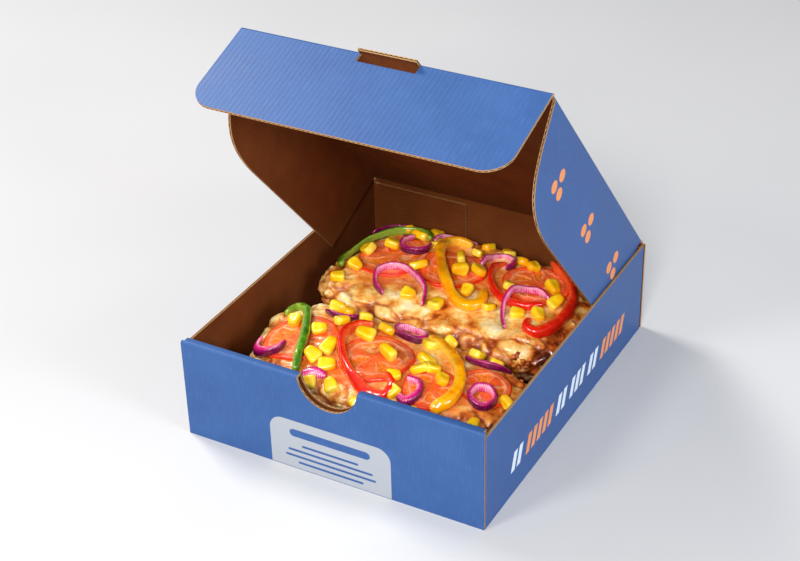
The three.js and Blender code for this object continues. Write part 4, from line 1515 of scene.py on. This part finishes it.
@dataclass(frozen=True)
class Scatter:
    """Geometry Nodes that set one of a few shapes on every point, turned by the point's own angles."""

    shapes: Sequence[bpy.types.Object]
    material: bpy.types.Material
    smallest: float
    largest: float
    seed: int

    def tree(self) -> bpy.types.NodeTree:
        """Builds the node tree, with named inputs for the sizes and the seed."""
        tree = bpy.data.node_groups.new("lay_shapes", "GeometryNodeTree")
        face = tree.interface
        face.new_socket("Points", in_out="INPUT", socket_type="NodeSocketGeometry")
        for label in ("Smallest", "Largest"):
            face.new_socket(label, in_out="INPUT", socket_type="NodeSocketFloat")
        face.new_socket("Seed", in_out="INPUT", socket_type="NodeSocketInt")
        face.new_socket("Laid", in_out="OUTPUT", socket_type="NodeSocketGeometry")
        nodes, links = tree.nodes, tree.links
        given, result = nodes.new("NodeGroupInput"), nodes.new("NodeGroupOutput")
        joined = nodes.new("GeometryNodeGeometryToInstance")
        for shape in reversed(self.shapes):
            source = nodes.new("GeometryNodeObjectInfo")
            source.inputs["Object"].default_value = shape
            links.new(source.outputs["Geometry"], joined.inputs[0])
        spin = nodes.new("GeometryNodeInputNamedAttribute")
        spin.data_type = "FLOAT_VECTOR"
        spin.inputs["Name"].default_value = "turn"
        scale = nodes.new("FunctionNodeRandomValue")
        links.new(given.outputs["Smallest"], scale.inputs[2])
        links.new(given.outputs["Largest"], scale.inputs[3])
        links.new(given.outputs["Seed"], scale.inputs["Seed"])
        place = nodes.new("GeometryNodeInstanceOnPoints")
        place.inputs["Pick Instance"].default_value = True
        links.new(given.outputs["Points"], place.inputs["Points"])
        links.new(joined.outputs[0], place.inputs["Instance"])
        links.new(spin.outputs["Attribute"], place.inputs["Rotation"])
        links.new(scale.outputs[1], place.inputs["Scale"])
        real = nodes.new("GeometryNodeRealizeInstances")
        dress = nodes.new("GeometryNodeSetMaterial")
        dress.inputs["Material"].default_value = self.material
        links.new(place.outputs["Instances"], real.inputs["Geometry"])
        links.new(real.outputs["Geometry"], dress.inputs["Geometry"])
        links.new(dress.outputs["Geometry"], result.inputs["Laid"])
        return tree

    def lay(self, name: str, points: Sequence[tuple], turns: Sequence[tuple]) -> bpy.types.Object:
        """Sets a shape on every point and removes the loose shapes.

        Args:
            name: the piece's name.
            points: positions in millimetres.
            turns: the three angles of each.

        Returns:
            All the copies as one plain mesh.
        """
        mesh = bpy.data.meshes.new(name)
        mesh.from_pydata([tuple(value * MM for value in point) for point in points], [], [])
        attribute = mesh.attributes.new("turn", "FLOAT_VECTOR", "POINT")
        attribute.data.foreach_set("vector", np.array(turns, np.float32).ravel())
        piece = bpy.data.objects.new(name, mesh)
        bpy.context.scene.collection.objects.link(piece)
        modifier = piece.modifiers.new("lay", "NODES")
        modifier.node_group = self.tree()
        sockets = {item.name: item.identifier for item in modifier.node_group.interface.items_tree}
        modifier[sockets["Smallest"]] = self.smallest
        modifier[sockets["Largest"]] = self.largest
        modifier[sockets["Seed"]] = self.seed
        bake_modifiers(piece)
        for shape in self.shapes:
            bpy.data.objects.remove(shape)
        piece.data.polygons.foreach_set("use_smooth", np.ones(len(piece.data.polygons), bool))
        return piece


@dataclass(frozen=True)
class Kernels:
    """Sweetcorn kernels laid over both halves."""

    length: float = 10.4
    width: float = 9.0
    thickness: float = 6.4
    seed: int = 11

    def kernel(self, name: str, stretch: float, material: bpy.types.Material) -> bpy.types.Object:
        """Models one kernel: a rounded wedge with a blunt crown and a narrow cut tip.

        Args:
            name: the kernel's name.
            stretch: its length against the usual one.
            material: its skin.

        Returns:
            A kernel round the origin, lying along X.
        """
        around, rows = 24, 15
        angle = np.linspace(0, 2 * math.pi, around, endpoint=False)[:, None]
        share = (0.5 - 0.5 * np.cos(np.linspace(0, 1, rows) * math.pi))[None, :]
        body = (1 - np.abs(2 * share - 1) ** 5) ** 0.3
        taper = 1 - 0.36 * share ** 1.3
        square = (np.abs(np.cos(angle)) ** 3.6 + np.abs(np.sin(angle)) ** 3.6) ** (-1 / 3.6)
        wide = self.width / 2 * body * taper * square * np.cos(angle)
        thick = self.thickness / 2 * body * (1 - 0.2 * share) * square * np.sin(angle)
        dimple = 0.7 * np.exp(-((share - 0.35) / 0.22) ** 2 - (wide / self.width * 3.2) ** 2)
        thick = thick - dimple * np.sign(np.sin(angle)) * (np.abs(np.sin(angle)) > 0.5)
        lengthwise = (share - 0.5) * self.length * stretch + 0 * angle
        gather = Gather()
        gather.grid(np.stack([lengthwise, wide, thick], -1), wrap=True,
                    marks={"tip": share + 0 * angle})
        return gather.build(name, [material], sharp=180)

    def build(self, name: str, half: PizzaHalf, slices: Sequence[TomatoSlice], spots: Sequence[tuple],
              material: bpy.types.Material) -> bpy.types.Object:
        """Lays kernels at chosen spots.

        Args:
            name: the piece's name.
            half: the half that they lie on.
            slices: tomato slices that they may lie on.
            spots: (x, y) or (x, y, extra lift) of each kernel.
            material: their skin.

        Returns:
            All the kernels as one mesh.
        """
        random = np.random.default_rng(self.seed + len(spots))
        step = 1.5
        points, turns = [], []
        for spot in spots:
            x, y = float(spot[0]), float(spot[1])
            lift = spot[2] if len(spot) > 2 else 0.0
            level = [float(resting_height(half, slices, np.array(x + dx), np.array(y + dy)))
                     for dx, dy in ((0, 0), (step, 0), (0, step))]
            normal = Vector((-(level[1] - level[0]) / step, -(level[2] - level[0]) / step, 1)).normalized()
            roll = math.radians(80) if random.random() < 0.16 else math.radians(random.uniform(-30, 30))
            pitch = math.radians(random.uniform(-24, 24))
            local = Euler((roll, pitch, random.uniform(0, 2 * math.pi))).to_matrix()
            lean = normal.to_track_quat("Z", "Y").to_matrix()
            turns.append(tuple((lean @ local).to_euler()))
            seat = self.thickness / 2 - 1.3 + (1.2 if abs(roll) > 1 else 0.0)
            points.append((x, y, level[0] + seat + lift))
        shapes = [self.kernel(f"kernel_{number}", stretch, material)
                  for number, stretch in enumerate((0.9, 1.0, 1.12))]
        return Scatter(shapes, material, 0.84, 1.14, self.seed).lay(name, points, turns)


@dataclass(frozen=True)
class BrownedBits:
    """Crisp browned bits that cling to the ends and the lower sides."""

    size: float = 3.6
    seed: int = 5

    def material(self) -> bpy.types.Material:
        """Builds the browned bits' material."""
        s = Shade("browned_bits")
        place = s.place()
        blotch = s.noise(place, 5, 4, 0.6)
        fine = s.noise(place, 0.9, 3, 0.6)
        colour = s.ramp(s.math("ADD", blotch, s.range(fine, 0.3, 0.7, -0.1, 0.1)), [
            (0.28, srgb(96, 28, 10)), (0.74, srgb(248, 182, 96)), (0.42, srgb(158, 64, 18)),
            (0.58, srgb(216, 118, 42)),
        ])
        return s.finish(Base_Color=colour, Roughness=0.32, Normal=s.bump(fine, 0.25, 0.7),
                        Subsurface_Weight=0.1, Subsurface_Radius=(0.003, 0.0015, 0.0006),
                        Subsurface_Scale=0.5, Coat_Weight=0.3, Coat_Roughness=0.15)

    def bit(self, name: str, number: int, material: bpy.types.Material) -> bpy.types.Object:
        """Models one uneven bit of a few dozen faces."""
        around, rows = 12, 8
        angle = np.linspace(0, 2 * math.pi, around, endpoint=False)[:, None]
        rise = np.linspace(-math.pi / 2, math.pi / 2, rows)[None, :]
        ball = np.stack([np.cos(angle) * np.cos(rise), np.sin(angle) * np.cos(rise),
                         np.sin(rise) + 0 * angle], -1)
        lumpy = 1 + 0.42 * noise(ball, 0.9, self.seed + 7 * number, 2)
        shape = ball * lumpy[..., None] * self.size / 2 * np.array([1.25, 0.85 + 0.1 * number, 0.7])
        gather = Gather()
        gather.grid(shape, wrap=True)
        return gather.build(name, [material], sharp=180)

    def build(self, name: str, half: bpy.types.Object, count: int, chance: Callable[[Points, Points], Points],
              material: bpy.types.Material) -> bpy.types.Object:
        """Clings bits to a half.

        Args:
            name: the piece's name.
            half: the finished half.
            count: how many bits.
            chance: how likely a bit is at each (position, normal).
            material: their look.

        Returns:
            All the bits as one mesh.
        """
        mesh = half.data
        places = np.empty(len(mesh.vertices) * 3)
        normals = places.copy()
        mesh.vertices.foreach_get("co", places)
        mesh.vertex_normals.foreach_get("vector", normals)
        places, normals = places.reshape(-1, 3) / MM, normals.reshape(-1, 3)
        weight = np.clip(chance(places, normals), 0, None)
        random = np.random.default_rng(self.seed + count)
        chosen = random.choice(len(places), count, replace=False, p=weight / weight.sum())
        turns = []
        for index in chosen:
            lean = Vector(normals[index]).to_track_quat("Z", "Y").to_matrix()
            spin = Euler((0, 0, random.uniform(0, 2 * math.pi))).to_matrix()
            turns.append(tuple((lean @ spin).to_euler()))
        points = [tuple(places[index] + normals[index] * 0.3) for index in chosen]
        shapes = [self.bit(f"bit_{number}", number, material) for number in range(3)]
        return Scatter(shapes, material, 0.45, 1.25, self.seed).lay(name, points, turns)


# ---------------------------------------------------------------- the whole pizza
@dataclass
class Pizza:
    """Both halves with everything on them."""

    front: PizzaHalf = PizzaHalf("pizza_front", (2.5, -52.5), (92.0, 43.4), -0.095, -4.0, 0.4, 3, 0.3)
    back: PizzaHalf = PizzaHalf("pizza_back", (1.4, 46.5), (93.1, 54.6), 0.075, -4.0, 2.1, 7, 0.36)

    def slices(self) -> list[TomatoSlice]:
        """The tomato slices; a later one leans on the earlier ones."""
        rows = [
            ("tomato_back_left", self.back, (-49, 51), 24),
            ("tomato_back_middle", self.back, (-6, 52), 22),
            ("tomato_back_right", self.back, (49, 61), 22),
            ("tomato_front_left", self.front, (-55, -56), 24),
            ("tomato_front_middle", self.front, (-1, -57), 23),
            ("tomato_front_inner", self.front, (42, -69), 17),
            ("tomato_front_right", self.front, (68, -52), 16),
        ]
        return [TomatoSlice(*row) for row in rows]

    def strips(self) -> list[Strip]:
        """The pepper and onion strips, along the same paths as their solids."""
        f, b = self.front, self.back
        return [
            Strip("green_pepper_back", b, Veg.GREEN, 6, 6, (
                (-76, 28), (-80, 40), (-79, 54), (-74, 69), (-64, 82), (-52, 88), (-42, 85), (-36, 78)),
                skin_side=-1),
            Strip("onion_back_corner", b, Veg.ONION, 3.8, 6, (
                (-80, 77, 0.5), (-74, 87, 1), (-65, 93, 1.5), (-54, 94, 1))),
            Strip("onion_back_curl", b, Veg.ONION, 3.4, 5, (
                (-46, 75), (-50, 66), (-46, 58), (-37, 57), (-31, 62), (-31, 70))),
            Strip("onion_back_arch", b, Veg.ONION, 2.8, 5, (
                (-34, 9), (-44, 17), (-48, 28), (-43, 36), (-33, 37), (-21, 31), (-10, 21), (-5, 8)),
                skin_side=-1),
            Strip("yellow_pepper_back", b, Veg.YELLOW, 7.5, 7, (
                (-8, 85), (-18, 86), (-24, 79), (-22, 66), (-13, 50), (-2, 34), (10, 22), (21, 17),
                (27, 24), (24, 37))),
            Strip("onion_back_middle", b, Veg.ONION, 3.2, 5, (
                (-33, 77), (-33, 87), (-25, 95), (-10, 96)), skin_side=-1),
            Strip("onion_back_hook", b, Veg.ONION, 3.6, 5, (
                (9, 62), (9, 73), (16, 82), (25, 79), (28, 70), (26, 63)), skin_side=-1),
            Strip("red_pepper_back_thin", b, Veg.RED, 4.2, 5, (
                (22, 73), (18, 64), (21, 52), (29, 41), (40, 34), (54, 33), (64, 39))),
            Strip("onion_back_right", b, Veg.ONION, 3, 5, (
                (65, 45, 1), (57, 49, 1), (48, 47, 1), (43, 39, 4.2), (42, 29, 4.2), (46, 17), (52, 8))),
            Strip("red_pepper_back", b, Veg.RED, 6.5, 7, (
                (47, 88), (59, 78), (70, 67), (77, 54), (79, 38), (77, 22), (71, 13), (64, 14), (63, 21)),
                skin_side=-1),
            Strip("green_pepper_front", f, Veg.GREEN, 6, 7, (
                (-77, -38), (-77, -27), (-72, -26), (-64, -34), (-55, -49), (-48, -64), (-43, -78),
                (-40, -88)), skin_side=-1),
            Strip("onion_front_corner", f, Veg.ONION, 3.6, 5, (
                (-78, -64), (-76, -74), (-67, -79), (-59, -76), (-58, -68))),
            Strip("onion_front_curl", f, Veg.ONION, 3.6, 5, (
                (-56, -24), (-47, -28), (-37, -27), (-31, -20))),
            Strip("onion_front_wedge", f, Veg.ONION, 6, 4.5, (
                (-35, -89), (-29, -84), (-20, -84)), skin_side=-1),
            Strip("red_pepper_front", f, Veg.RED, 5.5, 6.5, (
                (-19, -28), (-27, -35), (-29, -46), (-24, -59), (-13, -73), (-1, -83), (11, -88), (20, -87),
                (21, -79), (14, -73))),
            Strip("onion_front_ring", f, Veg.ONION, 3.2, 5.5, (
                (-6, -21), (1, -15), (11, -17), (15, -25), (8, -31), (-2, -29)), closed=True, skin_side=-1),
            Strip("yellow_pepper_front", f, Veg.YELLOW, 8, 7, (
                (16, -22), (29, -29), (41, -39), (51, -51), (57, -64), (57, -77), (51, -87)), skin_side=-1),
            Strip("onion_front_arc", f, Veg.ONION, 3.2, 5, (
                (46, -33), (56, -36), (66, -34), (74, -27))),
            Strip("onion_front_right", f, Veg.ONION, 3, 5, (
                (66, -67), (66, -58), (73, -55), (79, -60), (78, -68), (72, -71)),
                closed=True, skin_side=-1),
            Strip("onion_front_hook", f, Veg.ONION, 4, 5, (
                (27, -71, 0.6), (35, -71), (39, -79), (35, -87), (28, -85)), skin_side=-1),
        ]

    def kernel_spots(self) -> dict[str, list[tuple]]:
        """Where the sweetcorn lies on each half."""
        return {
            "back": [
                (-72, 17), (-65, 29), (-68, 50), (-54, 60), (-58, 88), (-44, 79), (-40, 94), (-29, 76),
                (-26, 43), (-18, 14), (3, 12), (-5, 62), (1, 75), (1, 48), (12, 54), (0, 91), (16, 88),
                (32, 77), (40, 75), (61, 60), (69, 46), (53, 24), (65, 29), (36, 47), (15, 30, 2), (34, 23),
            ],
            "front": [
                (-66, -45), (-46, -48), (-31, -62), (-36, -73), (-24, -76), (-64, -88), (-14, -89), (5, -93),
                (-17, -42), (-38, -34), (-50, -19), (-42, -19), (-27, -24), (-9, -29), (5, -54), (19, -72),
                (-29, -91), (20, -29), (30, -21), (27, -47), (29, -59), (36, -55), (46, -62), (76, -83),
                (85, -58), (63, -25), (50, -24), (42, -90), (24, -83),
            ],
        }

    @staticmethod
    def bit_chance(places: Points, normals: Points) -> Points:
        """How likely browned bits are: most on the right ends, some low on the sides, none beneath."""
        x, z = places[:, 0], places[:, 2]
        on_side = smoothstep(0.75, 0.35, normals[:, 2]) * smoothstep(-0.75, -0.4, normals[:, 2])
        right_end = smoothstep(58, 84, x)
        clumps = smoothstep(0.0, 0.6, noise(places, 13, 4, 2))
        low = smoothstep(40, 26, z) * smoothstep(8, 14, z)
        clear = smoothstep(3.5, 6, places[:, 1] - flap_face(z)) * smoothstep(95, 93.5, np.abs(x))
        return (right_end * smoothstep(10, 16, z) * 1.6 + 0.5 * low) * clumps * on_side * clear + 1e-9

    def build(self) -> None:
        """Builds, dresses and registers the halves and every topping."""
        cheese = BakedCheese().material()
        tomato_flesh = TomatoFlesh().material()
        slices = self.slices()
        browned = BrownedBits().material()
        for half, label, count in ((self.front, "front", 120), (self.back, "back", 230)):
            own = [tomato for tomato in slices if tomato.half is half]
            piece = half.build(cheese, own)
            bits = BrownedBits().build(f"browned_bits_{label}", piece, count, self.bit_chance, browned)
            finish_piece(piece, "tray", [half.name])
            finish_piece(bits, "tray")
        for number, tomato in enumerate(slices):
            piece = tomato.build(tomato_flesh, slices[:number], number)
            finish_piece(piece, "tray", [tomato.name])
        skins = {
            Veg.GREEN: PepperSkin("green_pepper_skin", srgb(92, 154, 30), srgb(44, 98, 14),
                                  srgb(150, 180, 62)).material(),
            Veg.RED: PepperSkin("red_pepper_skin", srgb(238, 40, 18), srgb(202, 16, 8),
                                srgb(244, 96, 44)).material(),
            Veg.YELLOW: PepperSkin("yellow_pepper_skin", srgb(255, 182, 6), srgb(255, 140, 0),
                                   srgb(255, 200, 62)).material(),
            Veg.ONION: OnionFlesh().material(),
        }
        for number, strip in enumerate(self.strips()):
            piece = strip.build(skins[strip.veg], slices, number + 20)
            finish_piece(piece, "tray", [strip.name])
        corn = CornSkin().material()
        kernels = Kernels()
        for label, half in (("front", self.front), ("back", self.back)):
            piece = kernels.build(f"sweetcorn_{label}", half, slices, self.kernel_spots()[label], corn)
            finish_piece(piece, "tray")


# ---------------------------------------------------------------- studio
@dataclass(frozen=True)
class Studio:
    """Pale floor, soft lights and the camera."""

    lens_mm: float = 77.877
    sensor_mm: float = 36
    position: tuple[float, float, float] = (430.8, -787.7, 636.7)
    azimuth: float = 29.56
    elevation: float = 32.13
    roll: float = -1.54

    def floor(self) -> None:
        """A wide pale floor under the tray."""
        bpy.ops.mesh.primitive_plane_add(size=8, location=(0, 0, 0))
        plane = bpy.context.object
        plane.name = "studio_floor"
        s = Shade("studio_floor")
        cloud = s.noise(s.place(), 400, 2)
        colour = s.mix(s.range(cloud, 0.3, 0.7), srgb(196, 197, 200), srgb(204, 204, 207))
        plane.data.materials.append(s.finish(Base_Color=colour, Roughness=0.6))

    def area_light(self, name: str, place: tuple[float, float, float], size: float, power: float,
                   colour: tuple[float, float, float]) -> None:
        """A square soft light that looks at the food.

        Args:
            name: the light's name.
            place: where it stands, in metres.
            size: its side, in metres.
            power: its strength, in watts.
            colour: its tint.
        """
        data = bpy.data.lights.new(name, "AREA")
        data.size = size
        data.energy = power
        data.color = colour
        light = bpy.data.objects.new(name, data)
        light.location = place
        light.rotation_euler = (Vector((0, 0, 0.05)) - Vector(place)).to_track_quat("-Z", "Y").to_euler()
        bpy.context.scene.collection.objects.link(light)

    def lights(self) -> None:
        """Two lights from the front, one on the right wall, a sheen for the flap and a pale surround."""
        self.area_light("key", (0.45, -1.32, 1.04), 0.36, 20, (1.0, 0.96, 0.9))
        self.area_light("left", (-0.5, -1.25, 1.0), 0.35, 11, (1.0, 0.97, 0.92))
        self.area_light("side", (1.15, -0.3, 0.5), 0.4, 8, (0.74, 0.87, 1.0))
        self.area_light("sheen", (-1.2, 0.3, 1.45), 0.5, 24, (1.0, 0.98, 0.95))
        world = bpy.data.worlds.new("studio")
        bpy.context.scene.world = world
        world.use_nodes = True
        world.node_tree.nodes["Background"].inputs["Color"].default_value = (0.97, 0.98, 1.0, 1)
        world.node_tree.nodes["Background"].inputs["Strength"].default_value = 0.3

    def camera(self) -> None:
        """The camera, with the place and lens of the fitted view."""
        azimuth, elevation, roll = (math.radians(v) for v in (self.azimuth, self.elevation, self.roll))
        back = Vector((math.sin(azimuth) * math.cos(elevation), -math.cos(azimuth) * math.cos(elevation),
                       math.sin(elevation)))
        right = Vector((math.cos(azimuth), math.sin(azimuth), 0))
        up = back.cross(right)
        rolled_right = math.cos(roll) * right + math.sin(roll) * up
        rolled_up = math.cos(roll) * up - math.sin(roll) * right
        data = bpy.data.cameras.new("camera")
        data.sensor_width = self.sensor_mm
        data.lens = self.lens_mm
        data.clip_start = 0.01
        camera = bpy.data.objects.new("camera", data)
        turn = Matrix((rolled_right, rolled_up, back)).transposed().to_4x4()
        camera.matrix_world = Matrix.Translation(Vector(self.position) * MM) @ turn
        bpy.context.scene.collection.objects.link(camera)
        bpy.context.scene.camera = camera

    def build(self) -> None:
        """Sets up the floor, the lights and the camera."""
        self.floor()
        self.lights()
        self.camera()
        bpy.context.scene.view_settings.view_transform = "Standard"


def board_materials() -> list[bpy.types.Material]:
    """The board's materials, in the order of Ink."""
    return [
        PrintedBoard().material(), KraftLinerWithPaintedShade().material(),
        FlatInk("cut_paper", srgb(184, 144, 98), srgb(140, 98, 58)).material(),
        FlatInk("label_field", srgb(164, 170, 180), srgb(150, 157, 168)).material(),
        FlatInk("orange_ink", srgb(238, 150, 92), srgb(226, 132, 74)).material(),
        FlatInk("white_ink", srgb(222, 230, 240), srgb(205, 214, 226)).material(),
    ]


def build_box() -> None:
    """Builds and registers the tray, the lid and the flap, and builds both creases."""
    materials = board_materials()
    finish_piece(Tray(materials).build(), "tray", ["tray"])
    lid = Lid(materials)
    finish_piece(lid.lid_board(), "lid", ["lid"])
    finish_piece(lid.flap_board(), "front_flap", ["front_flap"])
    for strip, first, second, start, end in lid.folds():
        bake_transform(strip)
        LOG.info("%s: %d faces between %s and %s", strip.name, len(strip.data.polygons), first, second)


def main() -> None:
    """Builds the whole scene."""
    build_box()
    Pizza().build()
    Studio().build()


if __name__ == "__main__":
    main()
